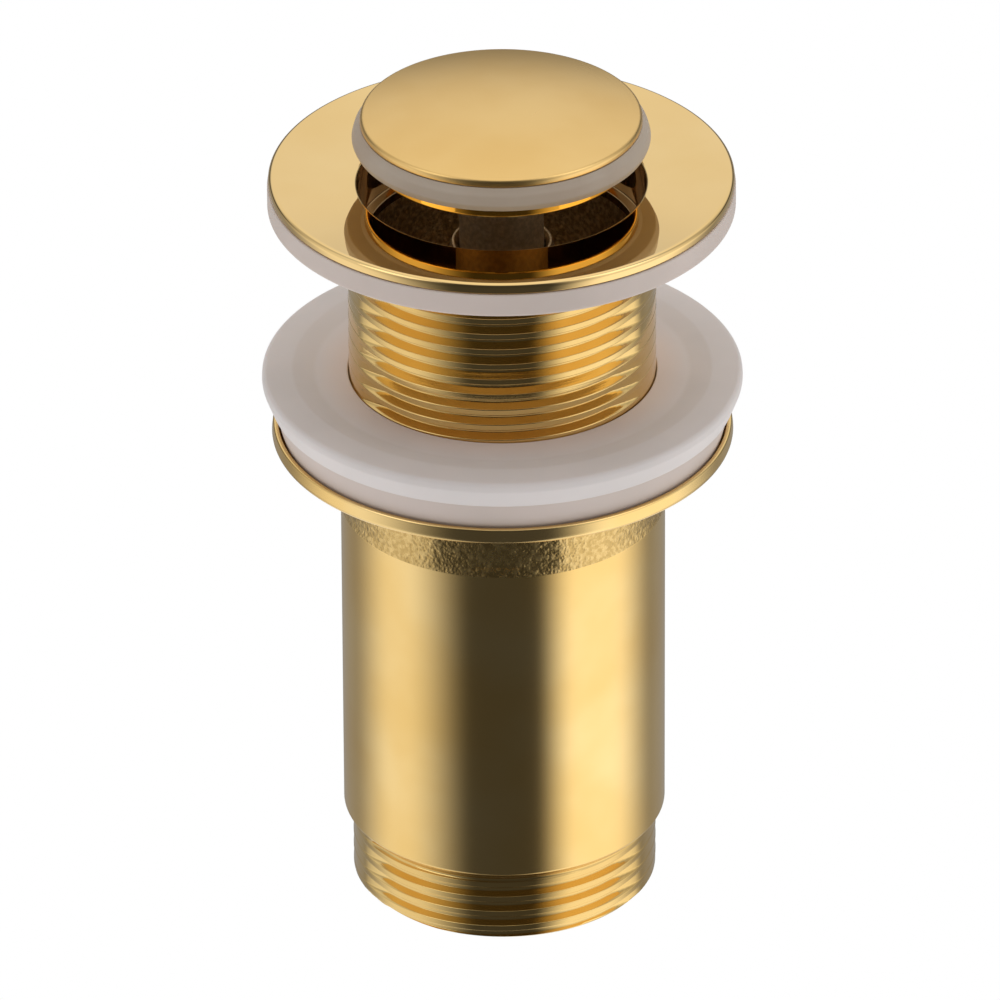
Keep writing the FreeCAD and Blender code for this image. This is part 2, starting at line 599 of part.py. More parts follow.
def plug_stud():
    """Threaded stud from the plunger's crown up into the cap."""
    body = new_body("plug_stud", f"({PLUG_SEAT} - Sizes.stud_grip)")
    length = "(Sizes.stud_grip + Sizes.stud_reach)"
    revolve(body, [("0", "0"), ("Sizes.stud_radius", "0"), ("Sizes.stud_radius", length), ("0", length)])
    return body


def plunger():
    """Tube with a solid crown that slides in the hub and holds the index pin."""
    body = new_body("plunger", PLUG_SEAT)
    groove_top = "(-Sizes.ring_depth + Sizes.ring_section + Sizes.ring_play)"
    groove_foot = "(-Sizes.ring_depth - Sizes.ring_section - Sizes.ring_play)"
    groove = "(Sizes.plunger_radius - 2 * Sizes.ring_section)"
    revolve(body, [
        ("Sizes.stud_radius", "-Sizes.plunger_crown"),
        ("Sizes.plunger_bore", "-Sizes.plunger_crown"),
        ("Sizes.plunger_bore", "-Sizes.plunger_length"),
        ("Sizes.plunger_radius", "-Sizes.plunger_length"),
        ("Sizes.plunger_radius", groove_foot),
        (groove, groove_foot),
        (groove, groove_top),
        ("Sizes.plunger_radius", groove_top),
        ("Sizes.plunger_radius", "0"),
        ("Sizes.stud_radius", "0"),
    ])
    sketch = new_sketch(body, "plunger_pin_hole", "YZ_Plane")
    sketch.addGeometry(Part.Circle(FreeCAD.Vector(0, -size("Sizes.pin_drop"), 0), FreeCAD.Vector(0, 0, 1),
                                   size("Sizes.pin_radius")))
    pin_down(sketch, 0, 3, "0", "-Sizes.pin_drop")
    index = sketch.addConstraint(Sketcher.Constraint("Radius", 0, size("Sizes.pin_radius")))
    sketch.setExpression(f"Constraints[{index}]", "Sizes.pin_radius")
    cut_through(body, sketch, "pin_bore", "Sizes.plunger_radius + 1", upwards=True)
    return body


def plunger_ring():
    """Rubber ring in the plunger's groove."""
    ring = document.addObject("Part::Torus", "plunger_ring")
    ring.setExpression("Radius1", "Sizes.plunger_radius - Sizes.ring_section")
    ring.setExpression("Radius2", "Sizes.ring_section")
    ring.setExpression("Placement.Base.z", f"{PLUG_SEAT} - Sizes.ring_depth")
    return ring


def index_pin():
    """Short pin through the plunger's wall, with its tip in the index track."""
    pin = document.addObject("Part::Cylinder", "index_pin")
    pin.setExpression("Radius", "Sizes.pin_radius")
    pin.setExpression("Height", "Sizes.plunger_radius - Sizes.sliding_fit - Sizes.pin_tip")
    pin.Placement = FreeCAD.Placement(FreeCAD.Vector(), FreeCAD.Rotation(FreeCAD.Vector(0, 1, 0), 90))
    pin.setExpression("Placement.Base.x", "Sizes.pin_tip")
    pin.setExpression("Placement.Base.z", f"{PLUG_SEAT} - Sizes.pin_drop")
    return pin


def outward(angle):
    """Unit vector that points away from the axis at an angle in degrees."""
    return FreeCAD.Vector(math.cos(math.radians(angle)), math.sin(math.radians(angle)), 0)


def track_run(start, end, gap, middle_radius):
    """Straight run of the index track: a bar that points outward.

    Start and end are pairs of an angle and a level. The bar is as wide as the
    track, and its middle line passes through both at the given radius.
    """
    facing = outward((start[0] + end[0]) / 2)
    points = [outward(angle) * middle_radius + FreeCAD.Vector(0, 0, level) for angle, level in (start, end)]
    along = (points[1] - points[0]).normalize()
    side = facing.cross(along).normalize() * gap
    corners = [points[0] + side, points[1] + side, points[1] - side, points[0] - side]
    inner = [corner - facing * middle_radius * 0.6 for corner in corners]
    return Part.Face(Part.makePolygon(inner + inner[:1])).extrude(facing * middle_radius * 1.2)


def index_barrel():
    """Barrel with the track that opens the plug on one push and locks it shut on the next.

    Going round, each stroke of the track falls to a low end, rises a little into
    the lock that holds the shut plug, falls again and climbs to the next top. The
    track is cut out of a shell, so its floor is the round core that the shell joins.
    """
    radius, bore = size("Sizes.barrel_radius"), size("Sizes.core_radius + Sizes.sliding_fit")
    foot, length = FreeCAD.Vector(0, 0, size(BARREL_FOOT)), size("Sizes.barrel_length")
    top = size(f"{PLUG_SEAT} - Sizes.pin_drop")
    low = top - size("Sizes.plug_travel")
    locked = low + size("Sizes.lock_rise")
    strokes, swing = int(size("Sizes.track_steps")), size("Sizes.track_swing")
    depth = size("Sizes.track_depth")
    gap = size("Sizes.pin_radius + Sizes.track_play")
    core = Part.makeCylinder(radius - depth, length, foot).cut(Part.makeCylinder(bore, length, foot))
    shell = Part.makeCylinder(radius, length, foot).cut(Part.makeCylinder(radius - depth, length, foot))
    pitch = 360 / strokes
    for stroke in range(strokes):
        start = pitch * stroke
        stops = [(start, top), (start + swing, low), (start + pitch / 2, locked),
                 (start + pitch - swing, low), (start + pitch, top)]
        for one, two in zip(stops, stops[1:]):
            shell = shell.cut(track_run(one, two, gap, radius - depth / 2))
        for angle, level in stops[:-1]:
            round_end = outward(angle) * (radius / 2) + FreeCAD.Vector(0, 0, level)
            shell = shell.cut(Part.makeCylinder(gap, radius, round_end, outward(angle)))
    barrel = document.addObject("Part::Feature", "index_barrel")
    barrel.Shape = core.fuse(shell).removeSplitter()
    return barrel


def core_pin():
    """Pin through the hub's floor that carries barrel, snap ring and spring seat."""
    body = new_body("core_pin", HUB_FLOOR)
    shank_foot = "(-Sizes.hub_floor - Sizes.lock_height - Sizes.nut_height - Sizes.shank_end)"
    groove_foot = f"({CLIP_SEAT} - {HUB_FLOOR})"
    groove_top = f"({groove_foot} + Sizes.clip_height)"
    turned = revolve(body, [
        ("0", shank_foot),
        ("Sizes.shank_radius", shank_foot),
        ("Sizes.shank_radius", "0"),
        ("Sizes.core_flange", "0"),
        ("Sizes.core_flange", "Sizes.core_seat"),
        ("Sizes.core_radius", "Sizes.core_seat"),
        ("Sizes.core_radius", groove_foot),
        ("Sizes.clip_groove", groove_foot),
        ("Sizes.clip_groove", groove_top),
        ("Sizes.core_radius", groove_top),
        ("Sizes.core_radius", "Sizes.core_top"),
        ("0", "Sizes.core_top"),
    ])
    round_rings(body, turned, "tip", [("Sizes.core_radius", "Sizes.core_top")], "Sizes.core_round")
    return body


def snap_ring():
    """Open ring in the core pin's groove, over the barrel."""
    body = ring_body("snap_ring", CLIP_SEAT, "Sizes.clip_groove", "Sizes.clip_radius", "Sizes.clip_height")
    sketch = new_sketch(body, "snap_ring_gap", "XY_Plane")
    rectangle(sketch, "-Sizes.clip_radius - 1", "-Sizes.clip_gap / 2", "0", "Sizes.clip_gap / 2")
    cut_through(body, sketch, "opening", "Sizes.clip_height", upwards=True)
    return body


def cartridge_spring():
    """Compression spring between its seat and the plunger's crown."""
    wire = size("Sizes.wire_radius")
    foot, top = size(SPRING_FOOT) + wire, size(SPRING_TOP) - wire
    radius = size("Sizes.spring_radius")
    pitch = (top - foot) / size("Sizes.spring_turns")
    helix = Part.makeLongHelix(pitch, top - foot, radius)
    section = Part.makeCircle(wire, FreeCAD.Vector(radius, 0, 0), FreeCAD.Vector(0, 1, 0))
    spring = document.addObject("Part::Feature", "cartridge_spring")
    spring.Shape = Part.Wire(helix.Edges).makePipeShell([Part.Wire(section)], True, True)
    spring.Placement = FreeCAD.Placement(FreeCAD.Vector(0, 0, foot), FreeCAD.Rotation())
    return spring


def core_nut():
    """Hexagon nut under the hub."""
    prism = document.addObject("Part::Prism", "core_nut_prism")
    prism.Polygon = 6
    prism.setExpression("Circumradius", "Sizes.nut_flats / 2 / cos(30 deg)")
    prism.setExpression("Height", "Sizes.nut_height")
    hole = document.addObject("Part::Cylinder", "core_nut_hole")
    hole.setExpression("Radius", "Sizes.shank_radius")
    hole.setExpression("Height", "Sizes.nut_height")
    nut = document.addObject("Part::Cut", "core_nut")
    nut.Base, nut.Tool = prism, hole
    nut.setExpression("Placement.Base.z", f"{HUB_FLOOR} - Sizes.hub_floor - Sizes.lock_height - Sizes.nut_height")
    return nut


def build_pieces():
    """Every piece of the waste, from the outlet up to the cap."""
    lock_level = f"({HUB_FLOOR} - Sizes.hub_floor - Sizes.lock_height)"
    thrust_level = f"({HUB_FLOOR} + Sizes.core_seat)"
    core_hole = "(Sizes.core_radius + Sizes.sliding_fit)"
    return [
        lower_body(),
        backing_washer(),
        seal_washer(),
        upper_washer(),
        upper_body(),
        core_pin(),
        ring_body("lock_washer", lock_level, "Sizes.shank_hole", "Sizes.lock_radius", "Sizes.lock_height"),
        core_nut(),
        ring_body("thrust_washer", thrust_level, core_hole, "Sizes.barrel_radius", "Sizes.thrust_height"),
        index_barrel(),
        snap_ring(),
        ring_body("spring_seat", SPRING_SEAT, core_hole, "Sizes.seat_radius", "Sizes.seat_height"),
        cartridge_spring(),
        plunger(),
        plunger_ring(),
        index_pin(),
        seal_clamp_disc(),
        plug_seal(),
        plug_cap(),
        plug_stud(),
    ]


def check(pieces):
    """Stop if any object failed to build or any piece isn't one valid solid."""
    for item in document.Objects:
        if "Invalid" in item.State or "Error" in item.State:
            raise RuntimeError(f"{item.Name} failed: {item.State}")
    for piece in pieces:
        shape = piece.Shape
        if shape.isNull() or not shape.isValid() or len(shape.Solids) != 1:
            raise RuntimeError(f"{piece.Label} is not one valid solid")


pieces = build_pieces()
document.recompute()
check(pieces)
os.makedirs("parts", exist_ok=True)
for piece in pieces:
    piece.Shape.exportStep(f"parts/{piece.Label}.step")
    box = piece.Shape.BoundBox
    print(f"{piece.Label}: {piece.Shape.Volume:.1f} mm3, Z {box.ZMin:.2f} to {box.ZMax:.2f}")
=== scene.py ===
"""Pop-up basin waste in gold-plated brass, dressed for the camera.

Lengths are millimetres in the classes and metres in the meshes and finishes. Z is
the axis of the waste, the outlet end stands on Z = 0, and -Y faces the viewer. The
plug, the flanged upper body with its threaded tail, the three washers and the lower
body are worked out as surfaces of two parameters; the sealed pieces of the cartridge
keep their turned solids and only get a finish.
"""

import enum
import json
import logging
import math
from collections.abc import Callable
from dataclasses import dataclass, field

import bmesh
import bpy
import numpy as np
from mathutils import Matrix, Vector

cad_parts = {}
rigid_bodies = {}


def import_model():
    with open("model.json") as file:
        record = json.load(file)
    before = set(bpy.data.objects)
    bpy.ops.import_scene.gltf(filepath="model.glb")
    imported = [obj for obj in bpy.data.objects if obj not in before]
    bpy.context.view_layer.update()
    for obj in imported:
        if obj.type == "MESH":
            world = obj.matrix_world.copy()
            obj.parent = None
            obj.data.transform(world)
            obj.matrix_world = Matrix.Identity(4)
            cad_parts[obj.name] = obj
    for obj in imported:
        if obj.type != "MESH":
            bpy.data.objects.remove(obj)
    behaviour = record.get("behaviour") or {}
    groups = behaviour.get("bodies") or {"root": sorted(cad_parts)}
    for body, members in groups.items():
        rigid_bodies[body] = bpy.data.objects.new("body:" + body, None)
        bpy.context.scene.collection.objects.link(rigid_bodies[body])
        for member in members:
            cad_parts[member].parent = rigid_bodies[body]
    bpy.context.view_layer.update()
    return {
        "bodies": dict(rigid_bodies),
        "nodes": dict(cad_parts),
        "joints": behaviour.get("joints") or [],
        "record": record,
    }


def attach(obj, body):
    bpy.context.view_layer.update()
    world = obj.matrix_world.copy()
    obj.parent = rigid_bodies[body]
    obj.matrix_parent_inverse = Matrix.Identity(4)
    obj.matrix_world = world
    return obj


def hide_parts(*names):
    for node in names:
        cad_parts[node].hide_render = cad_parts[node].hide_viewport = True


LOG = logging.getLogger("basin_waste")
MM = 0.001
PITCH = 2.309
AROUND = 192
WIDE_AROUND = 256

Colour = tuple[float, float, float]
# Radius, height and rounding of one corner of a turned section
Corner = tuple[float, float, float]
# New radii from angles, radii and heights
Reshape = Callable[[np.ndarray, np.ndarray, np.ndarray], np.ndarray]


class Socket:
    """One output of a shader node, with Python's operators on it as Math nodes."""

    def __init__(self, shader: "Shader", output: bpy.types.NodeSocket) -> None:
        """Keep the node tree and the output that the operators read.

        Args:
            shader: node tree that new nodes go into.
            output: output that the operators read.
        """
        self.shader = shader
        self.output = output

    def _math(self, operation: str, *terms: "Socket | float") -> "Socket":
        """Math node of the given operation on the terms."""
        return self.shader.node("ShaderNodeMath", {"operation": operation}, dict(enumerate(terms)))

    def __add__(self, other: "Socket | float") -> "Socket":
        """Sum."""
        return self._math("ADD", self, other)

    def __radd__(self, other: "Socket | float") -> "Socket":
        """Sum, reflected."""
        return self._math("ADD", other, self)

    def __sub__(self, other: "Socket | float") -> "Socket":
        """Difference."""
        return self._math("SUBTRACT", self, other)

    def __rsub__(self, other: "Socket | float") -> "Socket":
        """Difference, reflected."""
        return self._math("SUBTRACT", other, self)

    def __mul__(self, other: "Socket | float") -> "Socket":
        """Product."""
        return self._math("MULTIPLY", self, other)

    def __rmul__(self, other: "Socket | float") -> "Socket":
        """Product, reflected."""
        return self._math("MULTIPLY", other, self)

    def __pow__(self, other: "Socket | float") -> "Socket":
        """Power."""
        return self._math("POWER", self, other)

    def __abs__(self) -> "Socket":
        """Size without its sign."""
        return self._math("ABSOLUTE", self)

    def step(self, low: float, high: float) -> "Socket":
        """Smooth change from 0 to 1 between two values.

        Args:
            low: value at which the result is 0.
            high: value at which it is 1. Where it is less than low, the result falls.

        Returns:
            The result, held at 0 and 1 outside the two values.
        """
        settings = {"interpolation_type": "SMOOTHSTEP"}
        sign = 1.0 if high > low else -1.0
        inputs = {"Value": self * sign, "From Min": low * sign, "From Max": high * sign}
        return self.shader.node("ShaderNodeMapRange", settings, inputs)


class Shader:
    """Node tree of a material or a world."""

    def __init__(self, owner: bpy.types.Material | bpy.types.World) -> None:
        """Empty the owner's node tree.

        Args:
            owner: material or world whose tree it is.
        """
        owner.use_nodes = True
        self.tree = owner.node_tree
        self.tree.nodes.clear()

    def node(self, kind: str, settings: dict | None = None, inputs: dict | None = None,
             output: int | str = 0) -> Socket:
        """Add a node.

        Args:
            kind: the node's type.
            settings: properties of the node, set first.
            inputs: socket name or number to a value, a colour or a Socket.
            output: name or number of the output that is wanted.

        Returns:
            That output.
        """
        node = self.tree.nodes.new(kind)
        for name, value in (settings or {}).items():
            setattr(node, name, value)
        for name, value in (inputs or {}).items():
            if isinstance(value, Socket):
                self.tree.links.new(value.output, node.inputs[name])
            else:
                node.inputs[name].default_value = value
        return Socket(self, node.outputs[output])

    def place(self) -> Socket:
        """Object coordinates."""
        return self.node("ShaderNodeTexCoord", output="Object")

    def split(self, vector: Socket) -> tuple[Socket, Socket, Socket]:
        """The three parts of a vector.

        Args:
            vector: any vector or coordinates.

        Returns:
            Its X, Y and Z.
        """
        node = self.tree.nodes.new("ShaderNodeSeparateXYZ")
        self.tree.links.new(vector.output, node.inputs[0])
        return tuple(Socket(self, output) for output in node.outputs)

    def stretched(self, scale: tuple[float, float, float]) -> Socket:
        """Object coordinates, multiplied along each axis."""
        return self.node("ShaderNodeMapping", inputs={"Vector": self.place(), "Scale": scale})

    def noise(self, scale: float, detail: float, where: Socket | None = None) -> Socket:
        """Noise texture.

        Args:
            scale: cells per metre.
            detail: octaves of the noise.
            where: coordinates, or None for the object's own.

        Returns:
            Values from 0 to 1.
        """
        return self.node("ShaderNodeTexNoise", inputs={
            "Vector": where or self.place(), "Scale": scale, "Detail": detail})

    def blend(self, share: Socket | float, first: Socket | Colour, second: Socket | Colour) -> Socket:
        """Mix of two colours.

        Args:
            share: 0 for the first colour, 1 for the second.
            first: one colour.
            second: the other colour.

        Returns:
            The mixed colour.
        """
        colours = [c if isinstance(c, Socket) else (*c, 1.0) for c in (first, second)]
        return self.node("ShaderNodeMix", {"data_type": "RGBA"},
                         {0: share, 6: colours[0], 7: colours[1]}, output=2)

    def bump(self, height: Socket, distance: float, strength: float) -> Socket:
        """Normal bumped by a height of the given distance in metres."""
        return self.node("ShaderNodeBump", inputs={
            "Height": height, "Distance": distance, "Strength": strength})

    def finish(self, **inputs: Socket | float | Colour) -> None:
        """Principled surface with the given sockets, wired to the output.

        Args:
            **inputs: socket names, with _ for a space, to their values or Sockets.
        """
        named = {name.replace("_", " "): value for name, value in inputs.items()}
        surface = self.node("ShaderNodeBsdfPrincipled", inputs=named)
        self.wire("ShaderNodeOutputMaterial", surface)

    def wire(self, kind: str, surface: Socket) -> None:
        """Wire a surface to a new output node of the given type."""
        end = self.tree.nodes.new(kind)
        self.tree.links.new(surface.output, end.inputs["Surface"])


@dataclass(frozen=True)
class Finish:
    """Base of all finishes: a name and a way to make the material."""

    name: str

    def material(self) -> bpy.types.Material:
        """The material, made once and then found by its name.

        Returns:
            The material.
        """
        found = bpy.data.materials.get(self.name)
        if found is None:
            found = bpy.data.materials.new(self.name)
            self.dress(Shader(found))
        return found

    def dress(self, shader: Shader) -> None:
        """Build the node tree.

        Args:
            shader: node tree of the material.
        """
        raise NotImplementedError


@dataclass(frozen=True)
class TurnedGold(Finish):
    """Gold plate over turned and polished brass.

    Faint tool rings follow the height and the radius, and a wide, weak noise
    varies the colour and the gloss as plating does.
    """

    colour: Colour = (0.88, 0.62, 0.24)
    deep: Colour = (0.84, 0.57, 0.20)
    roughness: float = 0.035
    spread: float = 0.02
    ring_height: float = 0.000024

    def dress(self, shader: Shader) -> None:
        """Build the node tree.

        Args:
            shader: node tree of the material.
        """
        x, y, z = shader.split(shader.place())
        radius = (x * x + y * y) ** 0.5
        tool = shader.node("ShaderNodeCombineXYZ", inputs={0: radius, 1: z})
        rings = shader.noise(5200.0, 3.0, tool)
        broad = shader.noise(55.0, 3.0)
        specks = shader.noise(900.0, 5.0).step(0.66, 0.78)
        colour = shader.blend(broad.step(0.3, 0.7), self.colour, self.deep)
        gloss = self.roughness + self.spread * (broad + 0.8 * specks + 0.4 * rings)
        shader.finish(Base_Color=colour, Metallic=1.0, Roughness=gloss,
                      Normal=shader.bump(rings, self.ring_height, 0.25))


@dataclass(frozen=True)
class CastGold(Finish):
    """Gold plate over rough cast brass: a coarse skin of rounded grains and pits."""

    colour: Colour = (0.80, 0.57, 0.24)
    deep: Colour = (0.56, 0.38, 0.14)
    roughness: float = 0.20
    grain: float = 2700.0
    height: float = 0.00016

    def dress(self, shader: Shader) -> None:
        """Build the node tree: lumps, wide waves, and grains taken away from them.

        Args:
            shader: node tree of the material.
        """
        grains = shader.node("ShaderNodeTexVoronoi", {"feature": "SMOOTH_F1"},
                             {"Vector": shader.place(), "Scale": self.grain, "Smoothness": 0.8})
        lumps = shader.noise(self.grain * 0.55, 4.0)
        waves = shader.noise(self.grain * 0.16, 3.0)
        height = lumps * 0.8 + waves * 0.5 - grains * 0.35
        colour = shader.blend(lumps.step(0.35, 0.7), self.deep, self.colour)
        shader.finish(Base_Color=colour, Metallic=1.0, Roughness=self.roughness + 0.14 * lumps,
                      Normal=shader.bump(height, self.height, 0.8))


@dataclass(frozen=True)
class SoftWhite(Finish):
    """White silicone, rubber or nylon: soft sheen, faint mottling and light under the skin.

    Near the gold thread the colour goes over to a painted warm light, the gold's bounce,
    by the bounce share at the inner radius and not at all from the outer radius on.
    """

    colour: Colour = (0.62, 0.57, 0.52)
    shade: Colour = (0.56, 0.50, 0.44)
    roughness: float = 0.42
    # Painted light: warm bounce of the gold thread on the white, with its share and its inner and outer radii
    gold_bounce: Colour = (0.66, 0.54, 0.46)
    gold_bounce_share: float = 0.5
    gold_bounce_inner: float = 0.0208
    gold_bounce_outer: float = 0.0265
    glow: float = 0.12
    glow_depth: float = 0.0015
    mottle: float = 65.0
    pores: float = 2340.0

    def dress(self, shader: Shader) -> None:
        """Build the node tree.

        Args:
            shader: node tree of the material.
        """
        broad = shader.noise(self.mottle, 3.0)
        fine = shader.noise(self.pores, 4.0)
        x, y, _ = shader.split(shader.place())
        # Painted light: share of the gold's bounce, full at the inner radius and none from the outer radius
        # on
        near = ((x * x + y * y) ** 0.5).step(self.gold_bounce_outer, self.gold_bounce_inner)
        mottled = shader.blend(broad.step(0.35, 0.7), self.colour, self.shade)
        colour = shader.blend(near * self.gold_bounce_share, mottled, self.gold_bounce)
        shader.finish(Base_Color=colour, Metallic=0.0, Roughness=self.roughness + 0.12 * fine,
                      Subsurface_Weight=self.glow, Subsurface_Radius=(1.0, 0.75, 0.6),
                      Subsurface_Scale=self.glow_depth, Normal=shader.bump(fine, 0.00001, 0.2))


@dataclass(frozen=True)
class Steel(Finish):
    """Stainless steel with drawn lines along the piece."""

    colour: Colour = (0.52, 0.52, 0.50)
    roughness: float = 0.24

    def dress(self, shader: Shader) -> None:
        """Build the node tree.

        Args:
            shader: node tree of the material.
        """
        lines = shader.noise(400.0, 4.0, shader.stretched((14.0, 14.0, 1.0)))
        colour = shader.blend(lines, self.colour, tuple(c * 0.8 for c in self.colour))
        shader.finish(Base_Color=colour, Metallic=1.0, Roughness=self.roughness + 0.15 * lines,
                      Normal=shader.bump(lines, 0.00001, 0.4))


@dataclass(frozen=True)
class DarkRubber(Finish):
    """Black rubber with a dull bloom."""

    colour: Colour = (0.02, 0.02, 0.02)
    bloom: Colour = (0.05, 0.05, 0.05)

    def dress(self, shader: Shader) -> None:
        """Build the node tree.

        Args:
            shader: node tree of the material.
        """
        dust = shader.noise(1200.0, 4.0)
        shader.finish(Base_Color=shader.blend(dust, self.colour, self.bloom), Roughness=0.5 + 0.2 * dust,
                      Normal=shader.bump(dust, 0.00002, 0.4))


class Look(enum.Enum):
    """The finishes of the waste."""

    POLISHED = TurnedGold("polished_gold_plate", colour=(0.87, 0.63, 0.29), deep=(0.84, 0.59, 0.25),
                          roughness=0.008, spread=0.008, ring_height=0.000002)
    # Gold darkened to about half: painted shade for the deep throat, where little light gets in
    THROAT = TurnedGold("throat_shaded_gold", colour=(0.44, 0.30, 0.15), deep=(0.32, 0.21, 0.10),
                        roughness=0.03, spread=0.03, ring_height=0.000004)
    THREAD = TurnedGold("thread_gold_plate", colour=(0.80, 0.575, 0.235), deep=(0.74, 0.50, 0.18),
                        roughness=0.07, spread=0.05)
    SATIN = TurnedGold("satin_gold_plate", colour=(0.83, 0.57, 0.23), deep=(0.79, 0.52, 0.19),
                       roughness=0.24, spread=0.08)
    SLEEVE = TurnedGold("sleeve_gold_plate", colour=(0.89, 0.65, 0.29), deep=(0.84, 0.57, 0.21),
                        roughness=0.15, spread=0.04)
    DISC = TurnedGold("disc_gold_plate", colour=(0.88, 0.57, 0.14), deep=(0.84, 0.51, 0.10),
                      roughness=0.03, spread=0.04, ring_height=0.000008)
    STEM = CastGold("stem_gold_plate", colour=(0.74, 0.57, 0.36), deep=(0.58, 0.43, 0.25),
                    roughness=0.50, grain=3400.0, height=0.00010)
    CAST = CastGold("cast_gold_skin")
    ROUGH_BORE = CastGold("cast_bore_skin", colour=(0.80, 0.62, 0.38), deep=(0.48, 0.34, 0.18),
                          roughness=0.36, grain=3000.0, height=0.00022)
    BARE_BRASS = TurnedGold("machined_bare_brass", colour=(0.62, 0.45, 0.18), deep=(0.54, 0.38, 0.14),
                            roughness=0.24, spread=0.12)
    SILICONE = SoftWhite("milky_silicone", colour=(0.50, 0.42, 0.34), shade=(0.45, 0.36, 0.28),
                         gold_bounce_share=0.0)
    # The rubber seal washer carries the most painted bounce of the gold thread
    WHITE_RUBBER = SoftWhite("milky_rubber", colour=(0.78, 0.725, 0.71), shade=(0.73, 0.68, 0.665),
                             roughness=0.46, gold_bounce=(0.86, 0.68, 0.60))
    WHITE_NYLON = SoftWhite("milky_nylon", colour=(0.68, 0.58, 0.53), shade=(0.63, 0.54, 0.49),
                            roughness=0.40, gold_bounce_share=0.15)
    STEEL = Steel("drawn_stainless")
    BLACK_RUBBER = DarkRubber("dull_black_rubber")


def rounded(corners: list[Corner], steps: int = 6, hold: float = 0.05) -> np.ndarray:
    """Closed profile with rounded corners and a point held near each rounding.

    Each corner is (radius, height, rounding). A rounding of size a is the arc
    that touches both sides at a distance a / tan(half the corner's angle) from it.

    Args:
        corners: corners in order round the section.
        steps: pieces of each rounding.
        hold: distance from a rounding to its holding point, so flats shade flat.

    Returns:
        Array of (radius, height) rows.
    """
    places = np.array([c[:2] for c in corners], float)
    rows: list[np.ndarray] = []
    for index, (_, _, size) in enumerate(corners):
        here = places[index]
        back = places[index - 1] - here
        ahead = places[(index + 1) % len(places)] - here
        reach_back, reach_ahead = np.linalg.norm(back), np.linalg.norm(ahead)
        back, ahead = back / max(reach_back, 1e-9), ahead / max(reach_ahead, 1e-9)
        cosine = float(np.clip(back @ ahead, -1.0, 1.0))
        half = math.acos(cosine) / 2.0
        if size <= 0.0 or half < 1e-3 or abs(half - math.pi / 2.0) < 1e-3:
            rows.append(here[None, :])
            continue
        cut = min(size / math.tan(half), 0.49 * reach_back, 0.49 * reach_ahead)
        centre = here + (back + ahead) / np.linalg.norm(back + ahead) * (cut / math.cos(half))
        first, last = here + back * cut - centre, here + ahead * cut - centre
        turn = math.atan2(first[0] * last[1] - first[1] * last[0], first @ last)
        angles = np.linspace(0.0, turn, steps + 1)
        cosines, sines = np.cos(angles), np.sin(angles)
        arc = centre + np.stack([first[0] * cosines - first[1] * sines,
                                 first[0] * sines + first[1] * cosines], 1)
        if reach_back > 2.0 * cut + 2.0 * hold:
            rows.append((here + back * (cut + hold))[None, :])
        rows.append(arc)
        if reach_ahead > 2.0 * cut + 2.0 * hold:
            rows.append((here + ahead * (cut + hold))[None, :])
    return np.concatenate(rows)


def closed_piece(name: str, points: np.ndarray, faces: np.ndarray, zones: np.ndarray,
                 looks: tuple[Look, ...], crease: float) -> bpy.types.Object:
    """Object from points and faces.

    Args:
        name: the object's name.
        points: rows of (x, y, z), in millimetres.
        faces: rows of point numbers.
        zones: finish number of each face.
        looks: finishes.
        crease: angle over which an edge is sharp, in degrees.

    Returns:
        The linked object, with doubles merged and faces pointing outwards.
    """
    mesh = bpy.data.meshes.new(name)
    mesh.from_pydata((points * MM).tolist(), [], faces.tolist())
    mesh.polygons.foreach_set("material_index", zones.astype(np.int32))
    built = bmesh.new()
    built.from_mesh(mesh)
    bmesh.ops.remove_doubles(built, verts=built.verts, dist=1e-7)
    bmesh.ops.dissolve_degenerate(built, dist=1e-8, edges=built.edges)
    bmesh.ops.recalc_face_normals(built, faces=built.faces)
    built.to_mesh(mesh)
    built.free()
    mesh.polygons.foreach_set("use_smooth", np.ones(len(mesh.polygons), bool))
    mesh.set_sharp_from_angle(angle=math.radians(crease))
    for look in looks:
        mesh.materials.append(look.value.material())
    piece = bpy.data.objects.new(name, mesh)
    bpy.context.scene.collection.objects.link(piece)
    return piece


def mesh_from_grid(name: str, grid: np.ndarray, zones: np.ndarray | None,
                   looks: tuple[Look, ...], crease: float) -> bpy.types.Object:
    """Object from a grid of points that closes round both ways.

    Args:
        name: the object's name.
        grid: rows x columns x 3, in millimetres. The last row joins the first,
            and the last column joins the first.
        zones: finish number of each row of faces, or None for the first finish.
        looks: finishes.
        crease: angle over which an edge is sharp, in degrees.

    Returns:
        The linked object.
    """
    rows, columns = grid.shape[:2]
    index = np.arange(rows * columns).reshape(rows, columns)
    down, right = np.roll(index, -1, 0), np.roll(index, -1, 1)
    quads = np.stack([index, right, np.roll(down, -1, 1), down], -1).reshape(-1, 4)
    numbers = np.repeat(np.zeros(rows, int) if zones is None else zones, columns)
    return closed_piece(name, grid.reshape(-1, 3), quads, numbers, looks, crease)


def turned(name: str, profile: np.ndarray, looks: tuple[Look, ...], zones: np.ndarray | None = None,
           around: int = AROUND, shape: Reshape | None = None, crease: float = 32.0) -> bpy.types.Object:
    """Piece turned round Z: the point at profile row i and angle a is (r cos a, r sin a, z).

    Args:
        name: the object's name.
        profile: closed section, rows of (radius, height).
        looks: finishes.
        zones: finish number of each side of the section, or None for the first finish.
        around: number of columns.
        shape: function that gives new radii, or None to keep them.
        crease: angle over which an edge is sharp, in degrees.

    Returns:
        The linked object.
    """
    angles = np.linspace(0.0, 2.0 * math.pi, around, endpoint=False)[None, :]
    radii = np.repeat(profile[:, :1], around, 1)
    heights = np.repeat(profile[:, 1:], around, 1)
    if shape is not None:
        radii = shape(angles, radii, heights)
    grid = np.stack([radii * np.cos(angles), radii * np.sin(angles), heights], -1)
    return mesh_from_grid(name, grid, zones, looks, crease)


def side_middles(profile: np.ndarray) -> tuple[np.ndarray, np.ndarray]:
    """Radii and heights of the middles of a closed profile's sides."""
    middles = (profile + np.roll(profile, -1, 0)) / 2.0
    return middles[:, 0], middles[:, 1]


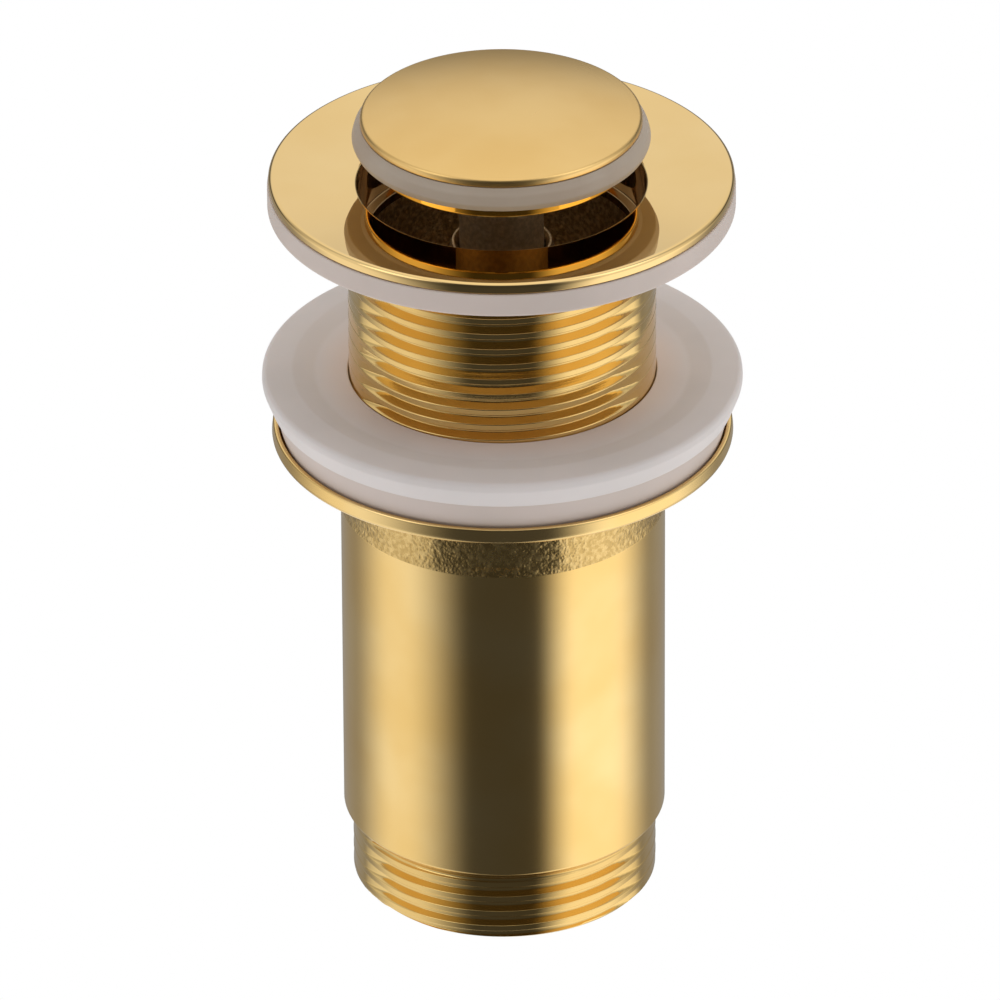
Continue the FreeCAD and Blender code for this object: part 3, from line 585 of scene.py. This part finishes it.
@dataclass(frozen=True)
class ThreadForm:
    """Right-handed pipe thread with rounded crests and roots, and a plain land at each side.

    The casting's mould opens forwards and backwards, so the grooves grow shallow
    over the run-out and end at the same angle from that direction. They leave
    the sides plain but for a trace. Angles are degrees.
    """

    crest: float = 20.8
    depth: float = 1.15
    land: float = 0.78
    flank: float = 27.5
    crest_round: float = 0.12
    root_round: float = 0.22
    pitch: float = PITCH
    draw: float = -2.25
    ends: float = 64.0
    run_out: float = 15.0
    trace: float = 0.035

    @property
    def slope(self) -> float:
        """Length of the axis that one flank takes: depth * tan(flank)."""
        return self.depth * math.tan(math.radians(self.flank))

    def section(self) -> np.ndarray:
        """Outline of one pitch, with the crest in the middle.

        The flanks stand at the flank angle, and the crest and the root round off
        into them.

        Returns:
            Rows of (height, radius).
        """
        half, root, edge = self.land / 2.0, self.crest - self.depth, self.pitch / 2.0
        closed = rounded([
            (root - 1.0, -edge, 0.0), (root, -edge, 0.0), (root, -half - self.slope, self.root_round),
            (self.crest, -half, self.crest_round), (self.crest, half, self.crest_round),
            (root, half + self.slope, self.root_round), (root, edge, 0.0), (root - 1.0, edge, 0.0),
        ], steps=3, hold=0.03)
        outside = closed[closed[:, 0] > root - 0.5]
        return outside[:, ::-1]

    def radius(self, turns: np.ndarray) -> np.ndarray:
        """Radius at a number of turns along the thread."""
        heights, radii = self.section().T
        return np.interp((turns - np.round(turns)) * self.pitch, heights, radii)

    def steps(self) -> np.ndarray:
        """Places within one turn that need a row: the section's points and three on each flank.

        The flat middle of the root needs none.

        Returns:
            Shares of the turn, from 0 to 1.
        """
        flank = self.land / 2.0 + self.slope * np.array([0.35, 0.55, 0.75])
        places = np.concatenate([self.section()[1:-1, 0], flank, -flank]) / self.pitch
        return np.unique(np.round(places % 1.0, 6))

    def floor(self, angles: np.ndarray) -> np.ndarray:
        """Least radius at each angle: the root in front and behind, near the crest at the sides.

        With b the angle from the mould's direction, the groove's depth is the
        full depth times (ends - b) / run_out, held between 0 and 1.

        Args:
            angles: angles round Z, in radians.

        Returns:
            Radii of the same shape.
        """
        turned_by = angles + math.pi / 2.0 - math.radians(self.draw)
        off = np.degrees(np.arcsin(np.abs(np.sin(turned_by))))
        share = np.clip((self.ends - off) / self.run_out, 0.0, 1.0)
        return self.crest - self.trace - self.depth * share

    def skin(self, low: float, high: float, fade: tuple[float, float], columns: int) -> np.ndarray:
        """Grid of the threaded skin, whose rows follow the helix.

        A row at height h passes angle a at h + pitch * a / 2 pi, held between the
        two ends. Its radius is the section's at (z / pitch - a / 2 pi) turns.

        Args:
            low: height of the lower end.
            high: height of the upper end.
            fade: length over which the depth fades out at the lower and upper end.
            columns: faces round the thread.

        Returns:
            Rows x (columns + 1) x 3, in millimetres. The last column closes the
            turn one pitch above the first.
        """
        turns = np.arange(math.floor(low / self.pitch) - 2, math.ceil(high / self.pitch) + 2)
        starts = (turns[:, None] + self.steps()[None, :]).ravel() * self.pitch
        angles = np.linspace(0.0, 2.0 * math.pi, columns + 1)[None, :]
        lead = self.pitch * angles / (2.0 * math.pi)
        heights = np.clip(starts[:, None] + lead, low, high)
        radii = np.maximum(self.radius((heights - lead) / self.pitch), self.floor(angles))
        inside = np.ones_like(heights)
        if fade[0] > 0.0:
            inside = inside * np.clip((heights - low) / fade[0], 0.0, 1.0)
        if fade[1] > 0.0:
            inside = inside * np.clip((high - heights) / fade[1], 0.0, 1.0)
        radii = self.crest - (self.crest - radii) * inside
        return np.stack([radii * np.cos(angles), radii * np.sin(angles), heights], -1)


def threaded_tube(name: str, form: ThreadForm, low: float, high: float, inside: list[tuple[float, float]],
                  fade: float, lead_in: float, columns: int = 144) -> bpy.types.Object:
    """Tube with a thread outside and a rough turned inside, closed at both ends.

    Args:
        name: the object's name.
        form: the thread.
        low: height of the lower end.
        high: height of the upper end.
        inside: rings of the inside as (radius, height), from the top down.
        fade: length under the upper end over which the thread fades out.
        lead_in: size of the 45 degree cone that trims the thread at the lower end.
        columns: faces round the tube.

    Returns:
        The linked object.
    """
    skin = form.skin(low, high, (0.0, fade), columns)
    reach = np.hypot(skin[..., 0], skin[..., 1])
    limit = form.crest - lead_in + (skin[..., 2] - low)
    skin[..., :2] *= np.minimum(1.0, limit / reach)[..., None]
    angles = np.linspace(0.0, 2.0 * math.pi, columns + 1)
    rings = [np.stack([radius * np.cos(angles), radius * np.sin(angles), np.full_like(angles, height)], -1)
             for radius, height in inside]
    grid = np.concatenate([skin, rings])
    rows, count = grid.shape[:2]
    index = np.arange(rows * count).reshape(rows, count)
    down = np.roll(index, -1, 0)
    quads = np.stack([index[:, :-1], index[:, 1:], down[:, 1:], down[:, :-1]], -1)
    zones = np.zeros((rows, count - 1), int)
    zones[len(skin):-1] = 1
    return closed_piece(name, grid.reshape(-1, 3), quads.reshape(-1, 4), zones.ravel(),
                        (Look.THREAD, Look.ROUGH_BORE), crease=50.0)


def keep(piece: bpy.types.Object, body: str, node: str) -> None:
    """Hand a finished piece to the frame.

    Args:
        piece: the finished piece.
        body: body that it rides on.
        node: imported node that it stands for.
    """
    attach(piece, body)
    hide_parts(node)
    LOG.info("%s: %d faces on %s", piece.name, len(piece.data.polygons), body)


def dress_node(frame: dict, node: str, look: Look) -> None:
    """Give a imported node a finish.

    Args:
        node: name of the node.
        look: its finish.
    """
    mesh = frame["nodes"][node].data
    mesh.materials.clear()
    mesh.materials.append(look.value.material())


@dataclass
class Plug:
    """Domed cap, silicone seal, clamp disc and plunger. The stud, pin and ring stay as packed."""

    seat: float = 110.5
    cap_radius: float = 18.95
    cap_low: float = 115.7
    cap_edge: float = 1.05
    cap_dome: float = 1.8
    cap_round: float = 0.6
    disc_radius: float = 17.6
    disc_height: float = 1.1
    seal_bore: float = 5.6
    seal_bevel: float = 18.0
    seal_edge: float = 19.75
    seal_swell: float = 20.1
    seal_top: float = 19.0
    seal_height: float = 4.1
    stud: float = 3.0
    stud_hole: float = 3.05
    stud_top: float = 6.3
    boss: float = 5.4
    boss_drop: float = 3.0
    boss_rise: float = 1.1
    tube: float = 5.7
    tube_bore: float = 4.3
    tube_length: float = 23.2
    crown: float = 5.0
    groove: float = 4.8
    groove_low: float = 14.75
    groove_high: float = 13.65
    body: str = "plug"
    packed: dict[str, Look] = field(default_factory=lambda: {
        "plug_stud": Look.STEEL, "index_pin": Look.STEEL, "plunger_ring": Look.BLACK_RUBBER})

    def cap(self) -> bpy.types.Object:
        """Cap: a shallow dome over a rounded edge, with a tapped boss below.

        The dome's radius R follows from its rise, and at radius r it stands
        R - sqrt(R^2 - r^2) under its top.

        Returns:
            The cap.
        """
        edge = self.cap_low + self.cap_edge
        curve = (self.cap_radius ** 2 + self.cap_dome ** 2) / (2.0 * self.cap_dome)
        radii = np.linspace(self.cap_radius - 1.5, 0.0, 26)
        top = np.stack([radii, edge + self.cap_dome - curve + np.sqrt(curve ** 2 - radii ** 2)], 1)
        low_boss = self.cap_low - self.boss_drop
        side = rounded([
            (self.stud, low_boss, 0.0), (self.boss, low_boss, 0.2), (self.boss, self.cap_low, 0.0),
            (self.cap_radius, self.cap_low, 0.25), (self.cap_radius, edge, self.cap_round),
            (float(top[0, 0]), float(top[0, 1]), 0.0),
        ], steps=10)
        hole = self.seat + self.stud_top
        inside = np.array([[0.0, hole], [self.stud, hole]])
        return turned("plug_cap_domed", np.concatenate([side, top[1:], inside]), (Look.SATIN,), crease=38.0)

    def seal(self) -> bpy.types.Object:
        """Seal: a soft ring whose lip swells past the cap.

        Returns:
            The seal.
        """
        foot = self.seat + self.disc_height
        top = foot + self.seal_height
        profile = rounded([
            (self.seal_bore, foot, 0.0), (self.disc_radius, foot, 0.1), (self.seal_bevel, foot + 0.4, 0.3),
            (self.seal_edge, foot + 1.05, 0.35), (self.seal_swell, foot + 1.9, 0.6),
            (self.seal_edge, foot + 3.2, 1.2), (self.seal_top, top, 0.12), (self.seal_bore, top, 0.0),
        ], steps=8)
        return turned("plug_seal_lip", profile, (Look.SILICONE,), crease=50.0)

    def disc(self) -> bpy.types.Object:
        """Clamp disc under the seal, with its boss.

        Returns:
            The disc.
        """
        top = self.seat + self.disc_height
        rise = top + self.boss_rise
        profile = rounded([
            (self.stud_hole, self.seat, 0.0), (self.disc_radius, self.seat, 0.3),
            (self.disc_radius, top, 0.12), (self.boss, top, 0.0), (self.boss, rise, 0.1),
            (self.stud_hole, rise, 0.0),
        ], steps=5)
        return turned("seal_clamp_plate", profile, (Look.DISC,))

    def plunger(self) -> bpy.types.Object:
        """Plunger: tube with a solid crown, a ring groove and broken edges.

        Returns:
            The plunger.
        """
        foot, crown = self.seat - self.tube_length, self.seat - self.crown
        low, high = self.seat - self.groove_low, self.seat - self.groove_high
        profile = rounded([
            (self.stud, crown, 0.0), (self.tube_bore, crown, 0.0), (self.tube_bore, foot, 0.2),
            (self.tube, foot, 0.3), (self.tube, low, 0.1), (self.groove, low, 0.0),
            (self.groove, high, 0.0), (self.tube, high, 0.1), (self.tube, self.seat, 0.2),
            (self.stud, self.seat, 0.0),
        ], steps=4)
        return turned("plunger_tube", profile, (Look.STEM,), around=96)

    def build(self, frame: dict) -> None:
        """Make the pieces of the plug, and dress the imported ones.
        """
        keep(self.cap(), self.body, "plug_cap")
        keep(self.seal(), self.body, "plug_seal")
        keep(self.disc(), self.body, "seal_clamp_disc")
        keep(self.plunger(), self.body, "plunger")
        for node, look in self.packed.items():
            dress_node(frame, node, look)


@dataclass
class UpperBody:
    """Basin flange, throat, threaded tail, spider and hub."""

    rim: float = 107.9
    flange_radius: float = 31.4
    flange_rim: float = 1.55
    dish: float = 1.2
    fall: float = 1.0
    land: float = 1.5
    throat: float = 19.4
    throat_wall: float = 1.25
    ledge: float = 8.9
    ledge_height: float = 1.2
    bore: float = 18.0
    tail_end: float = 47.9
    tail_wall: float = 1.3
    hub: float = 7.2
    hub_nose: float = 6.75
    hub_mouth: float = 6.45
    hub_bore: float = 5.75
    hub_depth: float = 10.2
    hub_well: float = 29.5
    hub_floor: float = 3.0
    shank_hole: float = 2.6
    arm_depth: float = 18.0
    arm_start: float = 6.6
    arm_half_width: float = 1.45
    arm_half_height: float = 5.9
    arm_flare: float = 0.35
    body: str = "upper"
    thread: ThreadForm = field(default_factory=ThreadForm)

    def flange(self) -> bpy.types.Object:
        """Flange and throat: a dished mirror face, a soft rim and a deep polished bore in painted shade.

        Returns:
            The flange.
        """
        rim, seat = self.rim, self.rim - self.flange_rim
        ledge, wall = rim - self.ledge, self.thread.crest - self.throat_wall
        profile = rounded([
            (self.bore, ledge - self.ledge_height, 0.0), (wall, ledge - self.ledge_height, 0.0),
            (wall, seat - self.fall + 0.15, 0.0), (self.flange_radius - self.land, seat, 0.0),
            (self.flange_radius - 0.1, seat, 0.25), (self.flange_radius, rim, 0.7),
            (self.throat, rim - self.dish, 0.5), (self.throat, ledge, 0.25), (self.bore, ledge, 0.15),
        ], steps=8)
        # Throat walls below the dish get the darker gold, the painted shade of the throat
        radii, heights = side_middles(profile)
        inner = (radii < self.throat + 0.05) & (heights < rim - self.dish - 0.7)
        return turned("basin_flange", profile, (Look.POLISHED, Look.THROAT), inner.astype(int), WIDE_AROUND)

    def tail(self) -> bpy.types.Object:
        """Threaded tail: the thread runs out just under the flange.

        Returns:
            The tail.
        """
        high = self.rim - self.flange_rim - self.fall + 0.25
        ledge, wall = self.rim - self.ledge - self.ledge_height, self.thread.crest - self.tail_wall
        inside = [(wall, high), (wall, ledge), (self.bore, ledge), (self.bore, self.tail_end)]
        return threaded_tube("threaded_tail", self.thread, self.tail_end, high, inside,
                             fade=2.0, lead_in=1.0, columns=140)

    def hub_casting(self) -> bpy.types.Object:
        """Hub: rough boss with a soft nose, bored for the plunger.

        Returns:
            The hub.
        """
        top, floor = self.rim - self.hub_depth, self.rim - self.hub_well
        foot = floor - self.hub_floor
        profile = rounded([
            (self.shank_hole, foot, 0.0), (self.hub, foot, 0.6), (self.hub, top - 1.6, 1.2),
            (self.hub_nose, top, 0.3), (self.hub_mouth, top, 0.1), (self.hub_bore, top - 1.2, 0.0),
            (self.hub_bore, floor, 0.0), (self.shank_hole, floor, 0.0),
        ], steps=6)
        return turned("spider_hub", profile, (Look.ROUGH_BORE,), around=128)

    def arm(self, number: int, stations: int = 14, columns: int = 48) -> bpy.types.Object:
        """Spider arm: an oval bar from the hub into the bore's wall.

        The section at the parameter b is a superellipse, half width times
        |cos b|^0.4 and half height times |sin b|^0.35, and it widens towards both
        ends as a casting does, by the flare times the fourth power of the way out.

        Args:
            number: place of the arm, in quarter turns from X.
            stations: sections along the arm.
            columns: points of a section.

        Returns:
            The arm.
        """
        along = np.linspace(self.arm_start, self.bore + 0.6, stations)
        turns = np.linspace(0.0, 2.0 * math.pi, columns, endpoint=False)
        cosine, sine = np.cos(turns), np.sin(turns)
        widen = 1.0 + self.arm_flare * np.abs((along - along.mean()) / (along[-1] - along.mean())) ** 4
        across = self.arm_half_width * np.sign(cosine) * np.abs(cosine) ** 0.4
        upright = self.arm_half_height * np.sign(sine) * np.abs(sine) ** 0.35
        level = self.rim - self.arm_depth
        grid = np.stack([
            np.repeat(along[:, None], columns, 1),
            widen[:, None] * across[None, :],
            level + np.repeat(upright[None, :], stations, 0),
        ], -1)
        middle = np.array([[[along[0], 0.0, level]], [[along[-1], 0.0, level]]])
        grid = np.concatenate([np.repeat(middle[:1], columns, 1), grid, np.repeat(middle[1:], columns, 1)])
        turn = math.pi / 2.0 * number
        x, y = grid[..., 0].copy(), grid[..., 1].copy()
        grid[..., 0] = x * math.cos(turn) - y * math.sin(turn)
        grid[..., 1] = x * math.sin(turn) + y * math.cos(turn)
        return mesh_from_grid(f"spider_arm_{number + 1}", grid, None, (Look.ROUGH_BORE,), crease=60.0)

    def build(self) -> None:
        """Make the pieces of the upper body."""
        pieces = [self.flange(), self.tail(), self.hub_casting()]
        pieces += [self.arm(number) for number in range(4)]
        for piece in pieces:
            keep(piece, self.body, "upper_body")


@dataclass
class Cartridge:
    """Sealed works in the hub: core pin, barrel, snap ring, seat, spring and nut."""

    looks: dict[str, Look] = field(default_factory=lambda: {
        "core_pin": Look.BARE_BRASS, "lock_washer": Look.STEEL, "core_nut": Look.BARE_BRASS,
        "thrust_washer": Look.WHITE_NYLON, "index_barrel": Look.WHITE_NYLON, "snap_ring": Look.STEEL,
        "spring_seat": Look.STEEL, "cartridge_spring": Look.STEEL,
    })

    def build(self, frame: dict) -> None:
        """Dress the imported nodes.
        """
        for node, look in self.looks.items():
            dress_node(frame, node, look)


@dataclass
class Washers:
    """White washers: flat above the gap, lipped and tapered below it."""

    bore: float = 21.15
    grip: float = 20.87
    upper_low: float = 103.05
    upper_high: float = 106.35
    upper_radius: float = 31.5
    upper_land: float = 30.2
    upper_fall: float = 0.8
    backing_low: float = 69.0
    backing_height: float = 5.1
    backing_foot: float = 29.8
    backing_radius: float = 31.1
    seal_low: float = 74.1
    seal_foot: float = 31.5
    lip_radius: float = 32.55
    lip_inset: float = 0.1
    lip_top: float = 78.15
    lip_height: float = 1.3
    ridge: float = 28.4
    trough: float = 25.4
    trough_depth: float = 0.35

    def upper(self) -> bpy.types.Object:
        """Upper washer: a flat ring with soft edges, hollowed to the flange's cone.

        Returns:
            The washer.
        """
        profile = rounded([
            (self.bore, self.upper_low, 0.15), (self.upper_radius, self.upper_low, 0.45),
            (self.upper_radius, self.upper_high, 0.2), (self.upper_land, self.upper_high, 0.0),
            (self.bore, self.upper_high - self.upper_fall, 0.0),
        ], steps=6)
        return turned("upper_washer_ring", profile, (Look.WHITE_NYLON,), around=WIDE_AROUND)

    def seal(self) -> bpy.types.Object:
        """Seal washer: a side that leans out to a soft lip, and a shallow trough round the thread.

        Returns:
            The washer.
        """
        top = self.lip_top
        profile = rounded([
            (self.grip, self.seal_low, 0.1), (self.seal_foot, self.seal_low, 0.4),
            (self.lip_radius, top - self.lip_height, 0.9), (self.lip_radius - self.lip_inset, top - 0.1, 0.9),
            (self.ridge, top + 0.05, 3.0), (self.trough, top - self.trough_depth, 4.0),
            (self.grip, top - 0.15, 0.2),
        ], steps=10)
        return turned("seal_washer_lip", profile, (Look.WHITE_RUBBER,), around=WIDE_AROUND, crease=45.0)

    def backing(self) -> bpy.types.Object:
        """Backing washer: a cone that widens upwards to a soft shoulder.

        Returns:
            The washer.
        """
        low, high = self.backing_low, self.backing_low + self.backing_height
        profile = rounded([
            (self.bore, low, 0.1), (self.backing_foot, low, 0.3), (self.backing_radius, high, 0.2),
            (self.bore, high, 0.1),
        ], steps=7)
        return turned("backing_washer_cone", profile, (Look.WHITE_NYLON,), around=WIDE_AROUND, crease=45.0)

    def build(self) -> None:
        """Make the three washers."""
        keep(self.upper(), "upper", "upper_washer")
        keep(self.seal(), "washers", "seal_washer")
        keep(self.backing(), "washers", "backing_washer")


@dataclass
class LowerBody:
    """Dished clamp flange, cast neck with crowned flats, sleeve and outlet thread."""

    sleeve: float = 22.05
    sleeve_low: float = 11.0
    sleeve_high: float = 57.7
    bevel: float = 1.2
    neck: float = 21.9
    neck_high: float = 66.5
    flange: float = 31.25
    rim_top: float = 70.3
    rim_height: float = 2.1
    dish_floor: float = 69.0
    dish_radius: float = 30.0
    bore: float = 20.85
    relief: float = 21.2
    relief_rise: float = 3.5
    outlet: float = 18.2
    shoulder: float = 20.85
    thread_high: float = 9.9
    thread_depth: float = 0.95
    flat: float = 21.25
    crown: float = 34.0
    flat_turn: float = -2.6
    body: str = "lower"

    def flats(self, angles: np.ndarray, radii: np.ndarray, heights: np.ndarray) -> np.ndarray:
        """Neck radius with the flats: the lesser of the neck and the crowned flat.

        A flat is an arc of the crown radius whose middle lies at the flat's
        distance. From the axis, at an angle b off its middle, it is met at
        e cos b + sqrt(crown^2 - (e sin b)^2), with e the arc's centre, less than 0.

        Args:
            angles: angles round Z, in radians.
            radii: radii of the turned section.
            heights: heights of the turned section.

        Returns:
            New radii, the same as before outside the neck.
        """
        turned_by = angles - math.radians(self.flat_turn) - math.pi / 2.0
        off = np.arcsin(np.sin(turned_by))
        centre = self.flat - self.crown
        reach = centre * np.cos(off) + np.sqrt(self.crown ** 2 - (centre * np.sin(off)) ** 2)
        on_neck = ((heights > self.sleeve_high + 0.6) & (heights < self.neck_high + 0.2)
                   & (np.abs(radii - self.neck) < 0.12))
        return np.where(on_neck & (reach < radii), reach, radii)

    def zones(self, profile: np.ndarray) -> np.ndarray:
        """Finish of each side: 0 for turned plate, 1 for the cast neck, 2 for the bore.

        Args:
            profile: closed section, rows of (radius, height).

        Returns:
            Finish numbers.
        """
        radii, heights = side_middles(profile)
        cast = ((heights > self.sleeve_high + 0.3) & (heights < self.neck_high + 0.9)
                & (radii > self.neck - 0.2) & (radii < 24.2))
        inner = (radii < self.relief + 0.1) & (heights < self.dish_floor - 0.3) & (heights > self.thread_high)
        return np.select([inner, cast], [2, 1], 0)

    def casting(self) -> bpy.types.Object:
        """Flange, neck and sleeve as one turned section, with the neck left as cast.

        Returns:
            The casting.
        """
        clear = self.sleeve_low + self.relief_rise
        profile = rounded([
            (self.outlet, self.thread_high, 0.0), (self.shoulder, self.thread_high, 0.05),
            (self.sleeve, self.sleeve_low, 0.5), (self.sleeve, self.sleeve_high, 0.3),
            (self.neck, self.sleeve_high + self.bevel, 0.1), (self.neck, self.neck_high, 0.9),
            (self.flange + 0.1, self.rim_top - self.rim_height, 0.75),
            (self.flange - 0.15, self.rim_top, 0.35),
            (self.dish_radius + 0.45, self.rim_top, 0.1), (self.dish_radius, self.dish_floor, 0.3),
            (self.bore, self.dish_floor, 0.2), (self.bore, self.sleeve_high, 0.0),
            (self.relief, self.sleeve_high, 0.0), (self.relief, clear, 0.3), (self.outlet, clear - 3.0, 0.3),
        ], steps=8)
        return turned("flanged_sleeve", profile, (Look.SLEEVE, Look.CAST, Look.ROUGH_BORE),
                      self.zones(profile), WIDE_AROUND, self.flats)

    def outlet_thread(self) -> bpy.types.Object:
        """Outlet thread for the trap nut.

        Returns:
            The thread.
        """
        inside = [(self.outlet, self.thread_high), (self.outlet, 0.0)]
        return threaded_tube("outlet_thread", ThreadForm(depth=self.thread_depth), 0.0, self.thread_high,
                             inside, fade=1.2, lead_in=0.7)

    def build(self) -> None:
        """Make the pieces of the lower body."""
        keep(self.casting(), self.body, "lower_body")
        keep(self.outlet_thread(), self.body, "lower_body")


@dataclass
class Studio:
    """Camera, floor and the soft light round the waste, in metres and degrees."""

    lens: float = 517.75
    distance: float = 1.7
    height: float = 1.0246
    pitch: float = 29.64
    roll: float = -0.28
    shift: float = -0.003
    floor_half: float = 6.0
    floor_drop: float = 0.0002

    def camera(self) -> None:
        """Camera at the photograph's angle."""
        data = bpy.data.cameras.new("studio_camera")
        data.sensor_width = 36.0
        data.lens = self.lens
        data.shift_x = self.shift
        data.clip_start, data.clip_end = 0.05, 20.0
        camera = bpy.data.objects.new("studio_camera", data)
        tilt = Matrix.Rotation(math.radians(90.0 - self.pitch), 4, "X")
        twist = Matrix.Rotation(math.radians(self.roll), 4, "Z")
        camera.matrix_world = Matrix.Translation((0.0, -self.distance, self.height)) @ tilt @ twist
        bpy.context.scene.collection.objects.link(camera)
        bpy.context.scene.camera = camera

    def floor(self) -> None:
        """Plain white floor that gives light but no reflection."""
        half, level = self.floor_half, -self.floor_drop
        mesh = bpy.data.meshes.new("studio_floor")
        mesh.from_pydata([(-half, -half, level), (half, -half, level), (half, half, level),
                          (-half, half, level)], [], [(0, 1, 2, 3)])
        material = bpy.data.materials.new("floor_white")
        shader = Shader(material)
        white = shader.node("ShaderNodeEmission", inputs={"Color": (1.0, 1.0, 1.0, 1.0), "Strength": 1.0})
        shader.wire("ShaderNodeOutputMaterial", white)
        mesh.materials.append(material)
        floor = bpy.data.objects.new("studio_floor", mesh)
        floor.visible_glossy = False
        bpy.context.scene.collection.objects.link(floor)

    @staticmethod
    def brightness(shader: Shader) -> Socket:
        """Light of the room in each direction.

        Azimuth is 0 towards the viewer and grows to the right, elevation is 0 at
        the horizon, both in degrees. The band low in front is dark, both sides
        are bright, and the wall behind brightens with height.

        Args:
            shader: node tree of the world.

        Returns:
            Strength of the light.
        """
        x, y, z = shader.split(shader.node("ShaderNodeTexCoord", output="Generated"))
        turn = shader.node("ShaderNodeMath", {"operation": "ARCTAN2"}, {0: x, 1: y * -1.0})
        azimuth = turn * (180.0 / math.pi)
        rise = shader.node("ShaderNodeMath", {"operation": "ARCSINE"}, {0: z}) * (180.0 / math.pi)
        right = azimuth.step(22.0, 54.0) * azimuth.step(134.0, 84.0)
        left = azimuth.step(-22.0, -76.0) * azimuth.step(-136.0, -88.0)
        behind = abs(azimuth).step(100.0, 140.0)
        steep = 0.27 + 0.75 * rise.step(-36.0, -50.0)
        low = (0.06 + 1.24 * right + 0.97 * left + steep * behind) * (0.50 + 0.50 * rise.step(-84.0, -62.0))
        front = 0.05 + 0.92 * right + 0.82 * left
        back = 0.05 + 0.86 * rise.step(5.0, 25.0) + 0.14 * rise.step(32.0, 55.0)
        open_sky = abs(azimuth).step(95.0, 150.0)
        over = rise.step(55.0, 82.0)
        sky = open_sky * (1.0 - over) + over
        above = rise.step(-3.0, 3.0)
        return low * (1.0 - above) + (front * (1.0 - sky) + back * sky) * above

    def surroundings(self) -> None:
        """Soft room of light and dark bands, seen only in reflections and as light."""
        world = bpy.data.worlds.new("studio_room")
        bpy.context.scene.world = world
        shader = Shader(world)
        room = shader.node("ShaderNodeBackground", inputs={
            "Color": (1.0, 0.99, 0.97, 1.0), "Strength": self.brightness(shader)})
        plain = shader.node("ShaderNodeBackground", inputs={"Color": (1.0, 1.0, 1.0, 1.0), "Strength": 1.0})
        seen = shader.node("ShaderNodeLightPath", output="Is Camera Ray")
        both = shader.node("ShaderNodeMixShader", inputs={0: seen, 1: room, 2: plain})
        shader.wire("ShaderNodeOutputWorld", both)

    def lamps(self) -> None:
        """Two soft boxes high at the sides, aimed at the middle of the waste."""
        for name, place, power in (
                ("left_softbox", (-0.9, -0.5, 1.1), 1.2),
                ("right_softbox", (0.9, -0.3, 1.2), 1.0)):
            data = bpy.data.lights.new(name, "AREA")
            data.energy, data.size = power, 0.7
            lamp = bpy.data.objects.new(name, data)
            lamp.location = place
            aim = Vector((0.0, 0.0, 0.06)) - lamp.location
            lamp.rotation_euler = aim.to_track_quat("-Z", "Y").to_euler()
            bpy.context.scene.collection.objects.link(lamp)

    def build(self) -> None:
        """Set up the whole studio."""
        self.camera()
        self.floor()
        self.surroundings()
        self.lamps()
        bpy.context.scene.view_settings.view_transform = "Standard"
        bpy.context.scene.view_settings.look = "None"


def main() -> None:
    """Build the waste and the studio."""
    logging.basicConfig(level=logging.INFO, format="%(name)s: %(message)s")
    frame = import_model()
    LowerBody().build()
    Washers().build()
    UpperBody().build()
    Cartridge().build(frame)
    Plug().build(frame)
    Studio().build()


if __name__ == "__main__":
    main()
